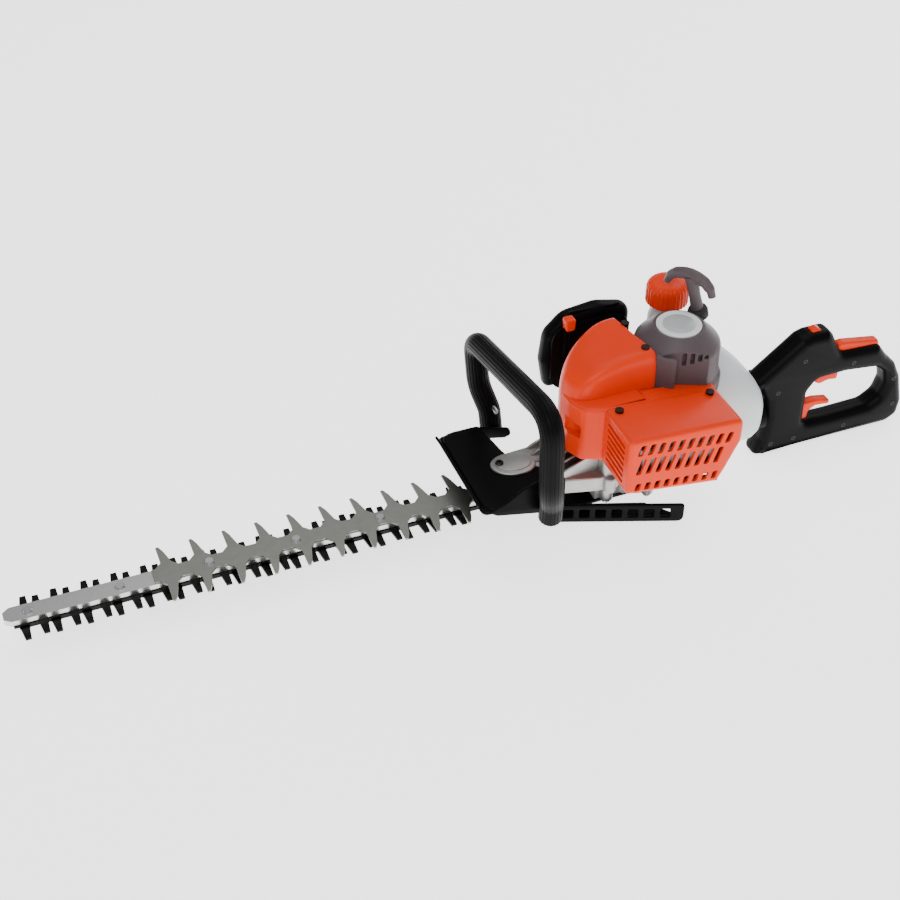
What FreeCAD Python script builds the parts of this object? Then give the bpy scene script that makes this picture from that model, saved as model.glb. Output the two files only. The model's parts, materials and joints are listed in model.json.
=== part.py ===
import FreeCAD, Part
import Sketcher
import math
import os

# Hedge trimmer with a small two-stroke engine and a double-sided reciprocating blade.
# Millimetres. +Z is up, the blade points towards -X and the rear handle towards +X.
# The origin is on the ground, under the middle of the machine's length and width.

V = FreeCAD.Vector
Rotation = FreeCAD.Rotation
os.makedirs("parts", exist_ok=True)
doc = FreeCAD.newDocument("hedge_trimmer")
sheet = doc.addObject("Spreadsheet::Sheet", "size")


class Size:
    """A length together with the spreadsheet expression that gives it."""

    def __init__(self, value, text):
        self.value = float(value)
        self.text = text

    def __add__(self, other):
        other = as_size(other)
        return Size(self.value + other.value, f"({self.text} + {other.text})")

    def __sub__(self, other):
        other = as_size(other)
        return Size(self.value - other.value, f"({self.text} - {other.text})")

    def __mul__(self, other):
        other = as_size(other)
        return Size(self.value * other.value, f"({self.text} * {other.text})")

    def __truediv__(self, other):
        other = as_size(other)
        return Size(self.value / other.value, f"({self.text} / {other.text})")

    def __radd__(self, other):
        return as_size(other) + self

    def __rsub__(self, other):
        return as_size(other) - self

    def __rmul__(self, other):
        return as_size(other) * self

    def __neg__(self):
        return Size(-self.value, f"(0 - {self.text})")

    def __float__(self):
        return self.value


def as_size(number):
    """Give a plain number the same form as a named size."""
    if isinstance(number, Size):
        return number
    return Size(number, f"{float(number):.6f}")


def named(alias, value):
    """Write one driving dimension into the next row of the sheet."""
    named.row += 1
    sheet.set(f"A{named.row}", alias)
    sheet.set(f"B{named.row}", str(value))
    sheet.setAlias(f"B{named.row}", alias)
    return Size(value, "size." + alias)


named.row = 0

# --- driving dimensions ------------------------------------------------------------------
half_length = named("half_length", 517.0)
handle_reach = named("handle_reach", 517.0)
gap = named("moving_gap", 0.4)
fit_gap = named("running_fit", 0.05)
seat = named("seat_gap", 0.2)

# cutting blade stack, from the bottom up
blade_base = named("blade_base_height", 31.6)
blade_thick = named("blade_thickness", 2.2)
blade_slip = named("blade_slip", 0.3)
bar_thick = named("bar_thickness", 6.4)
bar_half = named("bar_half_width", 10.5)
plate_thick = named("spike_plate_thickness", 2.0)
pitch = named("spike_pitch", 35.0)
cutter_pitch = named("cutter_pitch", 30.5)
throw = named("crank_throw", 6.0)
blade_half = named("blade_half_width", 12.0)
tooth_reach = named("tooth_reach", 29.0)
spike_reach = named("spike_reach", 40.5)
bolt_radius = named("blade_bolt_radius", 3.0)
first_tooth = named("first_tooth_from_tip", 27.5)
tooth_count = 16
spike_count = 10
last_station = named("last_spike_station", -36.0)

# drive train
crank_x = named("crank_position", 211.0)
gear_teeth = 47
pinion_teeth = 13
module = named("gear_module", 1.5)
eccentric_radius = named("eccentric_radius", 15.0)
yoke_play = named("yoke_play", 1.9)
yoke_rim = named("yoke_rim", 5.5)
shaft_radius = named("gear_shaft_radius", 4.5)
gear_base = named("gear_base_height", 46.0)
gear_thick = named("gear_thickness", 8.0)
drum_radius = named("drum_radius", 34.0)
drum_base = named("drum_base_height", 64.0)
drum_height = named("drum_height", 19.0)
case_wall = named("case_wall", 5.0)
cover_base = named("cover_base_height", 24.0)
crank_radius = named("crankshaft_radius", 6.0)

# engine
case_top = named("crankcase_base_height", 87.0)
crankcase_height = named("crankcase_height", 38.0)
crankcase_radius = named("crankcase_radius", 36.0)
fin_radius = named("fin_radius", 34.0)
bore_radius = named("bore_radius", 16.0)
flywheel_radius = named("flywheel_radius", 42.0)
flywheel_base = named("flywheel_base_height", 128.0)
starter_radius = named("starter_radius", 49.5)
starter_base = named("starter_base_height", 127.5)
starter_top = named("starter_top_height", 206.0)
sheet_wall = named("moulded_wall", 2.5)

# covers
deck_height = named("deck_front_height", 162.0)
deck_rear_height = named("deck_rear_height", 155.0)
muffler_side = named("muffler_cover_side", 110.0)
muffler_inner = named("muffler_cover_inner_side", 50.5)
muffler_front = named("muffler_cover_front", 104.0)
muffler_rear = named("muffler_cover_rear", 235.0)
muffler_floor = named("muffler_cover_floor", 76.0)
hood_front = named("hood_front", 77.0)
hood_rear = named("hood_rear", 156.0)
hood_floor = named("hood_floor", 90.0)
hood_far = named("hood_far_side", 54.0)
hood_peak = named("hood_peak_height", 198.0)

# front handle and guard
guard_top = named("guard_top_height", 78.0)
guard_half = named("guard_half_width", 68.0)
guard_front = named("guard_front", -32.0)
guard_rear = named("guard_rear", 56.0)
guard_wall = named("guard_wall", 3.0)
skirt_floor = named("skirt_floor_height", 56.0)
tube_radius = named("handle_tube_radius", 12.5)
loop_top = named("loop_top_height", 189.5)
loop_half = named("loop_half_width", 97.5)
loop_foot = named("loop_foot_height", 60.0)

# tank and rear handle
tank_front = named("tank_front", 262.0)
tank_rear = named("tank_rear", 316.0)
swivel_height = named("swivel_height", 55.0)
spigot_radius = named("spigot_radius", 8.0)
grip_front = named("grip_front", 331.5)
grip_half = named("grip_half_width", 15.0)
hole_front = named("hole_front", 383.0)
hole_rear = named("hole_rear", 489.0)
hole_floor = named("hole_floor", 32.0)
hole_roof = named("hole_roof", 95.0)
grip_top = named("grip_top_height", 122.0)
grip_floor = named("grip_floor_height", 1.0)
grip_wall = named("grip_wall", 2.5)
bearing_wall = named("swivel_bearing_length", 16.0)
doc.recompute()

nodes = []
serial = {}


# --- helpers -----------------------------------------------------------------------------
def unique(label):
    """Give each building block of a piece its own name."""
    serial[label] = serial.get(label, 0) + 1
    return f"{label}_{serial[label]}"


def bind(thing, name, size):
    """Tie a property to its expression in the sheet."""
    thing.setExpression(name, as_size(size).text)


def place(thing, x, y, z, turn=None):
    """Put a block at a bound position, turned by a fixed amount."""
    thing.Placement = FreeCAD.Placement(V(0, 0, 0), turn or Rotation())
    for axis, size in zip("xyz", (x, y, z)):
        bind(thing, "Placement.Base." + axis, size)
    return thing


TURNS = {
    "x": Rotation(V(0, 1, 0), 90),
    "y": Rotation(V(1, 0, 0), -90),
    "z": Rotation(),
}


def rod(label, x, y, z, radius, length, axis="z"):
    """A round bar that starts at x, y, z and runs along +axis."""
    thing = doc.addObject("Part::Cylinder", unique(label))
    bind(thing, "Radius", radius)
    bind(thing, "Height", length)
    return place(thing, x, y, z, TURNS[axis])


def cone(label, x, y, z, low, high, length):
    """An upright cone or taper."""
    thing = doc.addObject("Part::Cone", unique(label))
    bind(thing, "Radius1", low)
    bind(thing, "Radius2", high)
    bind(thing, "Height", length)
    return place(thing, x, y, z)


def block(label, x, y, z):
    """A box given by its low and high limits along each axis."""
    thing = doc.addObject("Part::Box", unique(label))
    for name, low, high in (("Length", *x), ("Width", *y), ("Height", *z)):
        bind(thing, name, as_size(high) - low)
    return place(thing, x[0], y[0], z[0])


def hexagon(label, x, y, z, radius, length, axis="z"):
    """A hexagonal bar, as on a nut or a bolt head."""
    thing = doc.addObject("Part::Prism", unique(label))
    thing.Polygon = 6
    bind(thing, "Circumradius", radius)
    bind(thing, "Height", length)
    return place(thing, x, y, z, TURNS[axis])


def joined(label, things):
    """Several blocks as one."""
    thing = doc.addObject("Part::MultiFuse", unique(label))
    thing.Shapes = things
    thing.Refine = True
    return thing


def less(label, base, tools):
    """A block with other blocks taken away."""
    thing = doc.addObject("Part::Cut", unique(label))
    thing.Base = base
    thing.Tool = tools[0] if len(tools) == 1 else joined(label + "_tools", tools)
    thing.Refine = True
    return thing


def rounded(label, base, radius, wanted):
    """Round the edges that a rule picks."""
    doc.recompute()
    thing = doc.addObject("Part::Fillet", unique(label))
    thing.Base = base
    edges = base.Shape.Edges
    thing.Edges = [(i + 1, float(radius), float(radius)) for i, e in enumerate(edges) if wanted(e)]
    return thing


def along(direction):
    """A rule for straight edges that run along one axis."""
    axis = {"x": V(1, 0, 0), "y": V(0, 1, 0), "z": V(0, 0, 1)}[direction]

    def rule(edge):
        if not isinstance(edge.Curve, Part.Line):
            return False
        return abs(abs(edge.tangentAt(edge.FirstParameter).dot(axis)) - 1) < 1e-6
    return rule


def keep(label, thing):
    """Name a finished piece and list it for writing."""
    thing.Label = label
    nodes.append(thing)
    return thing


def origin_plane(body, role):
    """One of a body's own origin planes."""
    return next(f for f in body.Origin.OriginFeatures if f.Role == role)


def new_body(label):
    """A PartDesign body."""
    return doc.addObject("PartDesign::Body", unique(label))


def outline(sketch, points):
    """A closed outline whose corners are each tied to the sheet."""
    first = sketch.GeometryCount
    count = len(points)
    spots = [V(float(x), float(y), 0) for x, y in points]
    for i in range(count):
        sketch.addGeometry(Part.LineSegment(spots[i], spots[(i + 1) % count]), False)
    for i in range(count):
        following = first + (i + 1) % count
        sketch.addConstraint(Sketcher.Constraint("Coincident", first + i, 2, following, 1))
    for i, point in enumerate(points):
        for kind, size in zip(("DistanceX", "DistanceY"), point):
            size = as_size(size)
            number = sketch.addConstraint(Sketcher.Constraint(kind, -1, 1, first + i, 1, size.value))
            sketch.setExpression(f"Constraints[{number}]", size.text)


def new_sketch(body, role, outlines, offset=0):
    """A sketch on one of the body's origin planes, moved along its normal."""
    sketch = body.newObject("Sketcher::SketchObject", unique(body.Name + "_sketch"))
    sketch.AttachmentSupport = [(origin_plane(body, role), "")]
    sketch.MapMode = "FlatFace"
    bind(sketch, "AttachmentOffset.Base.z", offset)
    for points in outlines:
        outline(sketch, points)
    return sketch


def pad(body, sketch, length, both=False, back=False):
    """Grow a sketch into a solid: one way, both ways or backwards."""
    thing = body.newObject("PartDesign::Pad", unique(body.Name + "_pad"))
    thing.Profile = sketch
    bind(thing, "Length", length)
    thing.SideType = "Symmetric" if both else "One side"
    thing.Reversed = back
    doc.recompute()
    return thing


def pocket(body, sketch, length, both=False, back=False):
    """Cut a sketch out of the body, and make sure that it does cut."""
    before = body.Shape.Volume
    thing = body.newObject("PartDesign::Pocket", unique(body.Name + "_pocket"))
    thing.Profile = sketch
    bind(thing, "Length", length)
    thing.SideType = "Symmetric" if both else "One side"
    thing.Reversed = back
    doc.recompute()
    if body.Shape.Volume >= before - 1e-6:
        raise RuntimeError(thing.Name + " cuts nothing")
    return thing


def soften(body, radius, wanted):
    """Round a body's edges that a rule picks."""
    thing = body.newObject("PartDesign::Fillet", unique(body.Name + "_fillet"))
    tip = thing.BaseFeature if thing.BaseFeature else body.Tip
    names = [f"Edge{i + 1}" for i, e in enumerate(body.Shape.Edges) if wanted(e)]
    thing.Base = (tip, names)
    thing.Radius = float(radius)
    doc.recompute()
    return thing


def repeat_round(body, feature, count):
    """Repeat one feature in a full circle about the body's Z axis."""
    thing = body.newObject("PartDesign::PolarPattern", unique(body.Name + "_polar"))
    thing.Originals = [feature]
    thing.Axis = (next(f for f in body.Origin.OriginFeatures if f.Role == "Z_Axis"), [""])
    thing.Angle = 360
    thing.Occurrences = count
    body.Tip = thing
    doc.recompute()
    return thing


def slab(label, outlines, low, thickness, role="XY_Plane"):
    """A flat plate from closed outlines, thickness along the plane's normal."""
    body = new_body(label)
    pad(body, new_sketch(body, role, outlines, low), thickness)
    return body


def bent_tube(label, points, radius, share=0.45):
    """A round tube: straight runs joined by tangent arcs at the inner points."""
    edges = []
    start = points[0]
    for before, corner, after in zip(points, points[1:], points[2:]):
        back = (before - corner).normalize()
        ahead = (after - corner).normalize()
        half = back.getAngle(ahead) / 2
        reach = share * min((before - corner).Length, (after - corner).Length)
        bisector = (back + ahead).normalize()
        bend = reach * math.tan(half)
        middle = corner + bisector * (reach / math.cos(half) - bend)
        edges.append(Part.LineSegment(start, corner + back * reach).toShape())
        edges.append(Part.Arc(corner + back * reach, middle, corner + ahead * reach).toShape())
        start = corner + ahead * reach
    edges.append(Part.LineSegment(start, points[-1]).toShape())
    spine = Part.Wire(edges)
    circle = Part.Circle(points[0], (points[1] - points[0]).normalize(), float(radius)).toShape()
    thing = doc.addObject("Part::Feature", unique(label))
    thing.Shape = spine.makePipeShell([Part.Wire([circle])], True, False)
    return thing


# --- cutting blades ----------------------------------------------------------------------
lower_z = blade_base
upper_z = lower_z + blade_thick + blade_slip
bar_z = upper_z + blade_thick + blade_slip
plate_z = bar_z + bar_thick
plate_top = plate_z + plate_thick
gear_x = crank_x - module * (gear_teeth + pinion_teeth) / 2
stroke = throw * 2
tip_x = -half_length
bolt_places = [tip_x + 24 + 92 * i for i in range(5)]
yoke_half_x = eccentric_radius + yoke_play
yoke_half_y = eccentric_radius + throw + yoke_play


def tooth(station, side, root, reach, base, tip, lean):
    """One tooth of a comb: a taper that stands out of the strip's edge."""
    return [
        (station - base, side * (root - 1)),
        (station + base, side * (root - 1)),
        (station + base * 0.8, side * (root + 2)),
        (station + lean + tip, side * reach),
        (station + lean - tip, side * reach),
        (station - base * 0.8, side * (root + 2)),
    ]


def cutting_blade(label, low, shift, slot_ahead):
    """A comb of cutting teeth, slotted for the blade bolts, with a yoke at its root.
    slot_ahead is the side of each bolt to which the slot has to leave room."""
    yoke_x = gear_x + shift
    root_start = yoke_x - yoke_half_x - yoke_rim
    strip_start = tip_x + 14 + shift
    strip = [
        (strip_start, -blade_half), (root_start + 1, -blade_half),
        (root_start + 1, blade_half), (strip_start, blade_half),
    ]
    yoke = [
        (root_start, -yoke_half_y - yoke_rim), (yoke_x + yoke_half_x + yoke_rim, -yoke_half_y - yoke_rim),
        (yoke_x + yoke_half_x + yoke_rim, yoke_half_y + yoke_rim), (root_start, yoke_half_y + yoke_rim),
    ]
    things = [slab(label + "_strip", [strip], low, blade_thick)]
    things.append(slab(label + "_yoke", [yoke], low, blade_thick))
    first = tip_x + first_tooth + shift
    lone = 1 if slot_ahead > 0 else 0
    stations = [(1, first + cutter_pitch * i) for i in range(tooth_count)]
    stations += [(-1, first + cutter_pitch * (i + 0.5)) for i in range(-lone, tooth_count - 1)]
    for side, station in stations:
        shape = tooth(station, side, blade_half, tooth_reach, 5.5, 3.0, 0.8)
        things.append(slab(label + "_tooth", [shape], low, blade_thick))
    window = block(
        label + "_window",
        (yoke_x - yoke_half_x, yoke_x + yoke_half_x), (-yoke_half_y, yoke_half_y),
            (low - 1, low + blade_thick + 1))
    slots = [window]
    slot_half = bolt_radius + gap
    for x in bolt_places:
        start = x if slot_ahead > 0 else x - stroke
        slots.append(block(
            label + "_slot", (start, start + stroke), (-slot_half, slot_half),
                (low - 1, low + blade_thick + 1)))
        slots.append(rod(label + "_slot_end", start, 0, low - 1, slot_half, blade_thick + 2))
        slots.append(rod(label + "_slot_end", start + stroke, 0, low - 1, slot_half, blade_thick + 2))
    return keep(label, less(label, joined(label + "_blank", things), slots))


cutting_blade("upper_blade", upper_z, -throw, -1)
cutting_blade("lower_blade", lower_z, throw, 1)

# guide bar: a long flat bar on top of the blades, rounded at its tip
bar_end = gear_x - yoke_half_x - yoke_rim - stroke - 12
bar = slab("guide_bar", [[
    (tip_x, -bar_half * 0.5), (tip_x + 7, -bar_half), (bar_end, -bar_half),
    (bar_end, bar_half), (tip_x + 7, bar_half), (tip_x, bar_half * 0.5)]], bar_z, bar_thick)
bar_holes = [rod("bar_hole", x, 0, bar_z - 1, bolt_radius + seat, bar_thick + 2) for x in bolt_places]
case_bolt_x = [12.0, 62.0]
case_bolt_radius = 2.5
bar_holes += [rod("bar_hole", x, 0, bar_z - 1, case_bolt_radius + seat, bar_thick + 2) for x in case_bolt_x]
keep("guide_bar", less("guide_bar", bar, bar_holes))


# spike plate: a thin aluminium plate with long blunt spikes that keep twigs and hands off
def spike(station, side):
    """One spike, wide at its foot and leaning a little towards the tip."""
    reach = side * spike_reach
    return [
        (station - 13, side * (bar_half - 2)), (station + 13, side * (bar_half - 2)),
        (station + 6, side * (bar_half + 5)), (station + 1.5, side * (spike_reach - 8)),
        (station - 2, reach), (station - 5, reach),
        (station - 5, side * (bar_half + 6)),
    ]


plate_front = last_station - pitch * (spike_count - 1) - 16
spine = slab("spike_plate", [[
    (plate_front, -bar_half + 1), (last_station + 14, -bar_half + 1),
    (last_station + 14, bar_half - 1), (plate_front, bar_half - 1)]], plate_z, plate_thick)
spikes = [spine]
for i in range(spike_count):
    for side in (-1, 1):
        spikes.append(slab("spike", [spike(last_station - pitch * i, side)], plate_z, plate_thick))
plate_holes = [
    rod("plate_hole", x, 0, plate_z - 1, bolt_radius + seat, plate_thick + 2)
    for x in bolt_places if float(x) > float(plate_front)]
keep("spike_plate", less("spike_plate", joined("spike_plate_blank", spikes), plate_holes))


def blade_bolt(x):
    """A domed bolt from the top through bar and blades."""
    top = plate_top if float(x) > float(plate_front) else plate_z
    shank = rod("blade_bolt", x, 0, lower_z - 6, bolt_radius, top - lower_z + 6)
    return joined("blade_bolt", [shank, cone("blade_bolt", x, 0, top, 5.6, 4.0, 2.6)])


keep("blade_bolts", joined("blade_bolts", [blade_bolt(x) for x in bolt_places]))


def blade_nut(x):
    """A thin washer and a lock nut under the blades."""
    low = lower_z - blade_slip
    washer = rod("blade_nut", x, 0, low - 1.2, 8.0, 1.2)
    nut = hexagon("blade_nut", x, 0, low - 5.2, 5.8, 4.0)
    hole = rod("blade_nut", x, 0, low - 6, bolt_radius, 7)
    return less("blade_nut", joined("blade_nut", [washer, nut]), [hole])


keep("blade_nuts", joined("blade_nuts", [blade_nut(x) for x in bolt_places]))

# --- gear case ---------------------------------------------------------------------------
gear_radius = module * gear_teeth / 2
pinion_radius = module * pinion_teeth / 2
addendum = 1.3
dedendum = 1.9
gear_tip = gear_radius + addendum
chamber_radius = gear_tip + 2
chamber_top = gear_base + gear_thick + 1.5
web_top = chamber_top + 7
housing_radius = drum_radius + 2
case_split = bar_z + bar_thick
nose_front = 4.0
nose_half = 30.0
nose_top = 70.0
boss_top = guard_top - 1
boss_half_x = 30.0
boss_half_y = 12.5
boss_x = 40.0
bearing_radius = 11.0
screw_radius = 2.5
case_screws = [
    (gear_x - 44, -36), (gear_x - 44, 36), (gear_x + 2, -42.5), (gear_x + 2, 42.5),
]
lug_radius = 7.0

case_outside = joined("gear_case_outside", [
    block("gear_case_nose", (nose_front, gear_x), (-nose_half, nose_half), (case_split, nose_top)),
    rod("gear_case_boss", boss_x - boss_half_x + boss_half_y, 0, nose_top - 1, boss_half_y,
        boss_top - nose_top + 1),
    rod("gear_case_boss", boss_x + boss_half_x - boss_half_y, 0, nose_top - 1, boss_half_y,
        boss_top - nose_top + 1),
    block("gear_case_boss", (boss_x - boss_half_x + boss_half_y, boss_x + boss_half_x - boss_half_y),
          (-boss_half_y, boss_half_y), (nose_top - 1, boss_top)),
    rod("gear_case_round", gear_x, 0, case_split, chamber_radius + case_wall, web_top - case_split),
    rod("gear_case_drum", crank_x, 0, case_split, housing_radius + case_wall, case_top - case_split),
    block("gear_case_arm", (crank_x, crank_x + 44), (-38, -22), (case_split, 72)),
    block("gear_case_arm", (crank_x, crank_x + 44), (22, 38), (case_split, 72)),
] + [rod("gear_case_lug", x, y, case_split, lug_radius, 14) for x, y in case_screws])
case_inside = [
    rod("gear_case_chamber", gear_x, 0, case_split - 1, chamber_radius, chamber_top - case_split + 1),
    rod("gear_case_bore", crank_x, 0, case_split - 1, bearing_radius + seat, 40),
    rod("gear_case_pit", crank_x, 0, web_top, housing_radius, case_top - web_top + 1),
    rod("gear_case_relief", crank_x - 60, 0, case_top + crankcase_height / 2, bore_radius + 5.5, 50, "x"),
    rod("gear_case_pin_hole", gear_x, 0, case_split, shaft_radius + 0.02, web_top - case_split - 2),
    block("gear_case_nose_room", (nose_front + 70, gear_x - 40), (-nose_half + 6, nose_half - 6),
          (case_split - 1, case_split + 4)),
] + [rod("gear_case_thread", x, y, case_split - 1, screw_radius, 11) for x, y in case_screws]
case_inside += [rod("gear_case_thread", x, 0, case_split - 1, case_bolt_radius, 14) for x in case_bolt_x]
keep("gear_case", less("gear_case", case_outside, case_inside))

# lower cover of the gear case, which closes the yoke room
cover_outside = joined("gear_case_cover_outside", [
    rod("cover_round", gear_x, 0, cover_base, chamber_radius + case_wall, case_split - cover_base),
    rod("cover_drum", crank_x, 0, cover_base + 6, 26, case_split - cover_base - 6),
    block("cover_nose", (gear_x - 57, gear_x), (-34, 34), (cover_base, case_split)),
] + [rod("cover_lug", x, y, cover_base, lug_radius, case_split - cover_base) for x, y in case_screws])
room_floor = blade_base - 1
cover_inside = [
    block("cover_room", (gear_x - 53, gear_x + 35), (-yoke_half_y - yoke_rim - 1, yoke_half_y + yoke_rim + 1),
          (room_floor, case_split + 1)),
    block("cover_mouth", (gear_x - 60, gear_x - 40), (-blade_half - 1.5, blade_half + 1.5),
          (room_floor, case_split + 1)),
    rod("cover_pin_hole", gear_x, 0, cover_base + 2, shaft_radius + 0.02, 20),
    rod("cover_bearing", crank_x, 0, case_split - 4.5, 6, 6),
] + [rod("cover_screw_hole", x, y, cover_base - 1, screw_radius + seat, 30) for x, y in case_screws]
skid_posts = [(gear_x - 46, -9.0), (gear_x - 46, 9.0), (gear_x - 14, -9.0), (gear_x - 14, 9.0)]
cover_inside += [rod("cover_thread", x, y, cover_base - 1, screw_radius, 6.5) for x, y in skid_posts]
keep("gear_case_cover", less("gear_case_cover", cover_outside, cover_inside))


def case_screw(x, y):
    """A screw that holds the lower cover, with its head underneath."""
    head = rod("case_screw", x, y, cover_base - 4, 4.5, 4)
    return joined("case_screw", [head, rod("case_screw", x, y, cover_base - 1, screw_radius, 26)])


keep("case_screws", joined("case_screws", [case_screw(x, y) for x, y in case_screws]))

# fixed pin that the drive gear turns on
keep("gear_shaft", rod("gear_shaft", gear_x, 0, cover_base + 2, shaft_radius, web_top - 2 - cover_base - 2))


# --- drive gear and clutch drum ----------------------------------------------------------
def toothed_wheel(label, x, low, radius, count, thickness):
    """A spur wheel: a disc with one gap cut and repeated in a circle."""
    body = new_body(label)
    tip = radius + addendum
    disc = body.newObject("PartDesign::AdditiveCylinder", unique(label + "_disc"))
    bind(disc, "Radius", tip)
    bind(disc, "Height", thickness)
    disc.Placement = FreeCAD.Placement(V(0, 0, 0), Rotation())
    doc.recompute()
    half_pitch = module * math.pi / 2
    slope = math.tan(math.radians(20))
    space = half_pitch - 0.95
    profile = [
        (radius - dedendum, (space - dedendum * slope) * -1),
            (tip + 1, (space + (addendum + 1) * slope) * -1),
        (tip + 1, space + (addendum + 1) * slope), (radius - dedendum, space - dedendum * slope),
    ]
    cut = pocket(body, new_sketch(body, "XY_Plane", [profile]), thickness, back=True)
    repeat_round(body, cut, count)
    place(body, x, 0, low)
    return body


gear_blank = toothed_wheel("drive_gear", gear_x, gear_base, gear_radius, gear_teeth, gear_thick)
hub_radius = 12.0
drive_gear = joined("drive_gear_solid", [
    gear_blank,
    rod("drive_gear_hub", gear_x, 0, upper_z + blade_thick + 0.1, hub_radius,
        gear_base - upper_z - blade_thick),
    rod("upper_eccentric", gear_x - throw, 0, upper_z - 0.1, eccentric_radius, blade_thick + 0.3),
    rod("lower_eccentric", gear_x + throw, 0, lower_z - 0.1, eccentric_radius, blade_thick + 0.3),
])
gear_bore = rod("drive_gear_bore", gear_x, 0, cover_base, shaft_radius + fit_gap, 40)
keep("drive_gear", less("drive_gear", drive_gear, [gear_bore]))

pinion = toothed_wheel("pinion", crank_x, gear_base, pinion_radius, pinion_teeth, gear_thick)
drum = less("drum_cup", rod("drum_cup", crank_x, 0, drum_base, drum_radius, drum_height),
            [rod("drum_cup", crank_x, 0, drum_base + 3, drum_radius - 3, drum_height)])
bearing_low = chamber_top - 0.2
keep("clutch_drum", joined("clutch_drum", [
    pinion, drum, rod("drum_shaft", crank_x, 0, case_split - 2, 5, drum_base - case_split + 3)]))
keep("drum_bearing", less("drum_bearing", rod("drum_bearing", crank_x, 0, bearing_low,
    bearing_radius + seat, 6.5),
                          [rod("drum_bearing", crank_x, 0, bearing_low - 1, 5 + fit_gap, 9)]))

# --- crank, clutch shoes and flywheel ----------------------------------------------------
crank_z = case_top + crankcase_height / 2
shoe_low = drum_base + 6
keep("crankshaft", joined("crankshaft", [
    rod("crank_main", crank_x, 0, shoe_low - 1, crank_radius, crank_z - shoe_low - 4),
    rod("crank_main", crank_x, 0, crank_z + 5, crank_radius, flywheel_base + 22 - crank_z - 5),
    rod("crank_web", crank_x, 0, crank_z - 9, 23, 4),
    rod("crank_web", crank_x, 0, crank_z + 5, 23, 4),
    rod("crank_pin", crank_x, 14, crank_z - 6, 4.5, 12)]))
shoe_ring = less("clutch_shoe", rod("clutch_shoe", crank_x, 0, shoe_low, drum_radius - 4, 11),
                 [rod("clutch_shoe", crank_x, 0, shoe_low - 1, crank_radius, 13),
                  block("clutch_shoe", (crank_x - 50, crank_x + 50), (-1.5, 1.5),
                      (shoe_low - 1, shoe_low + 12))])
keep("clutch_shoes", shoe_ring)
blades = []
for i in range(12):
    fin = doc.addObject("Part::Box", unique("flywheel_fin"))
    bind(fin, "Length", flywheel_radius - 17)
    bind(fin, "Width", 2)
    bind(fin, "Height", 7.5)
    angle = math.radians(30 * i)
    fin.Placement = FreeCAD.Placement(V(0, 0, 0), Rotation(V(0, 0, 1), 30 * i))
    bind(fin, "Placement.Base.x", crank_x + 16 * math.cos(angle))
    bind(fin, "Placement.Base.y", 16 * math.sin(angle))
    bind(fin, "Placement.Base.z", flywheel_base + 13.5)
    blades.append(fin)
wheel = joined("flywheel", [rod("flywheel", crank_x, 0, flywheel_base, flywheel_radius, 14),
                            rod("flywheel", crank_x, 0, flywheel_base, 13, 21)] + blades)
keep("flywheel", less("flywheel", wheel, [rod("flywheel", crank_x, 0, flywheel_base - 1, crank_radius, 40)]))

# --- crankcase, cylinder and ignition ----------------------------------------------------
shaft_hole = crank_radius + 3.0


def crankcase_half(label, low, high, chamber_low, chamber_high):
    """One half of the crankcase, open to the cylinder in front."""
    outside = [rod(label, crank_x, 0, low, crankcase_radius, high - low)]
    if label == "crankcase_upper":
        outside.append(rod(label, crank_x, 0, high - 4, starter_radius - 1, 4))
    else:
        outside.append(rod(label, crank_x, 0, low, housing_radius + case_wall, 4))
    inside = [
        rod(label, crank_x, 0, chamber_low, 26, chamber_high - chamber_low),
        rod(label, crank_x, 0, low - 1, shaft_hole, high - low + 2),
        rod(label, crank_x - 60, 0, crank_z, bore_radius + 5, 60, "x"),
        block(label, (crank_x - 60, crank_x - crankcase_radius + 6), (-40, 40), (crank_z - 24, crank_z + 14)),
    ]
    return keep(label, less(label, joined(label, outside), inside))


crankcase_half("crankcase_lower", case_top, crank_z, crank_z - 13, crank_z + 1)
crankcase_half("crankcase_upper", crank_z, case_top + crankcase_height, crank_z - 1, crank_z + 13)


def crank_bearing(low):
    """A ball bearing of the crankshaft."""
    ring = rod("crank_bearing", crank_x, 0, low, shaft_hole - 0.1, 5)
    return less("crank_bearing", ring, [rod("crank_bearing", crank_x, 0, low - 1, crank_radius + fit_gap, 7)])


keep("crank_bearings", joined("crank_bearings", [
    crank_bearing(case_top + 1), crank_bearing(case_top + crankcase_height - 6)]))

barrel_front = 112.0
barrel_rear = crank_x - crankcase_radius + 5.5
fin_count = 8
fins = [rod("cylinder_fin", barrel_front + 7 * i, 0, crank_z, fin_radius, 2.2, "x") for i in range(fin_count)]
port_x = (128.0, 152.0)
port_z = (crank_z - 10, crank_z + 10)
cylinder_body = joined("cylinder_body", fins + [
    rod("cylinder_barrel", barrel_front, 0, crank_z, bore_radius + 5, barrel_rear - barrel_front, "x"),
    block("exhaust_port", port_x, (-40, -10), port_z),
    block("intake_port", port_x, (10, 40), port_z)])
bore_front = barrel_front + 6
keep("cylinder", less("cylinder", cylinder_body, [
    rod("cylinder_bore", bore_front, 0, crank_z, bore_radius, 90, "x"),
    rod("plug_hole", barrel_front - 1, 0, crank_z, 5, 14, "x"),
    rod("exhaust_passage", crank_x - 71, -41, crank_z, 6, 35, "y"),
    rod("intake_passage", crank_x - 71, 6, crank_z, 6, 35, "y")]))
piston_rest = barrel_rear - 34
keep("piston", less("piston", rod("piston", piston_rest, 0, crank_z, bore_radius - fit_gap, 24, "x"), [
    rod("piston_room", piston_rest + 5, 0, crank_z, bore_radius - 3, 30, "x")]))
keep("spark_plug", joined("spark_plug", [
    rod("plug_thread", barrel_front, 0, crank_z, 4.95, 9, "x"),
    hexagon("plug_hex", barrel_front - 7, 0, crank_z, 9, 7, "x"),
    rod("plug_insulator", barrel_front - 24, 0, crank_z, 4, 18, "x")]))
cap_front = hood_front + 6
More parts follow.
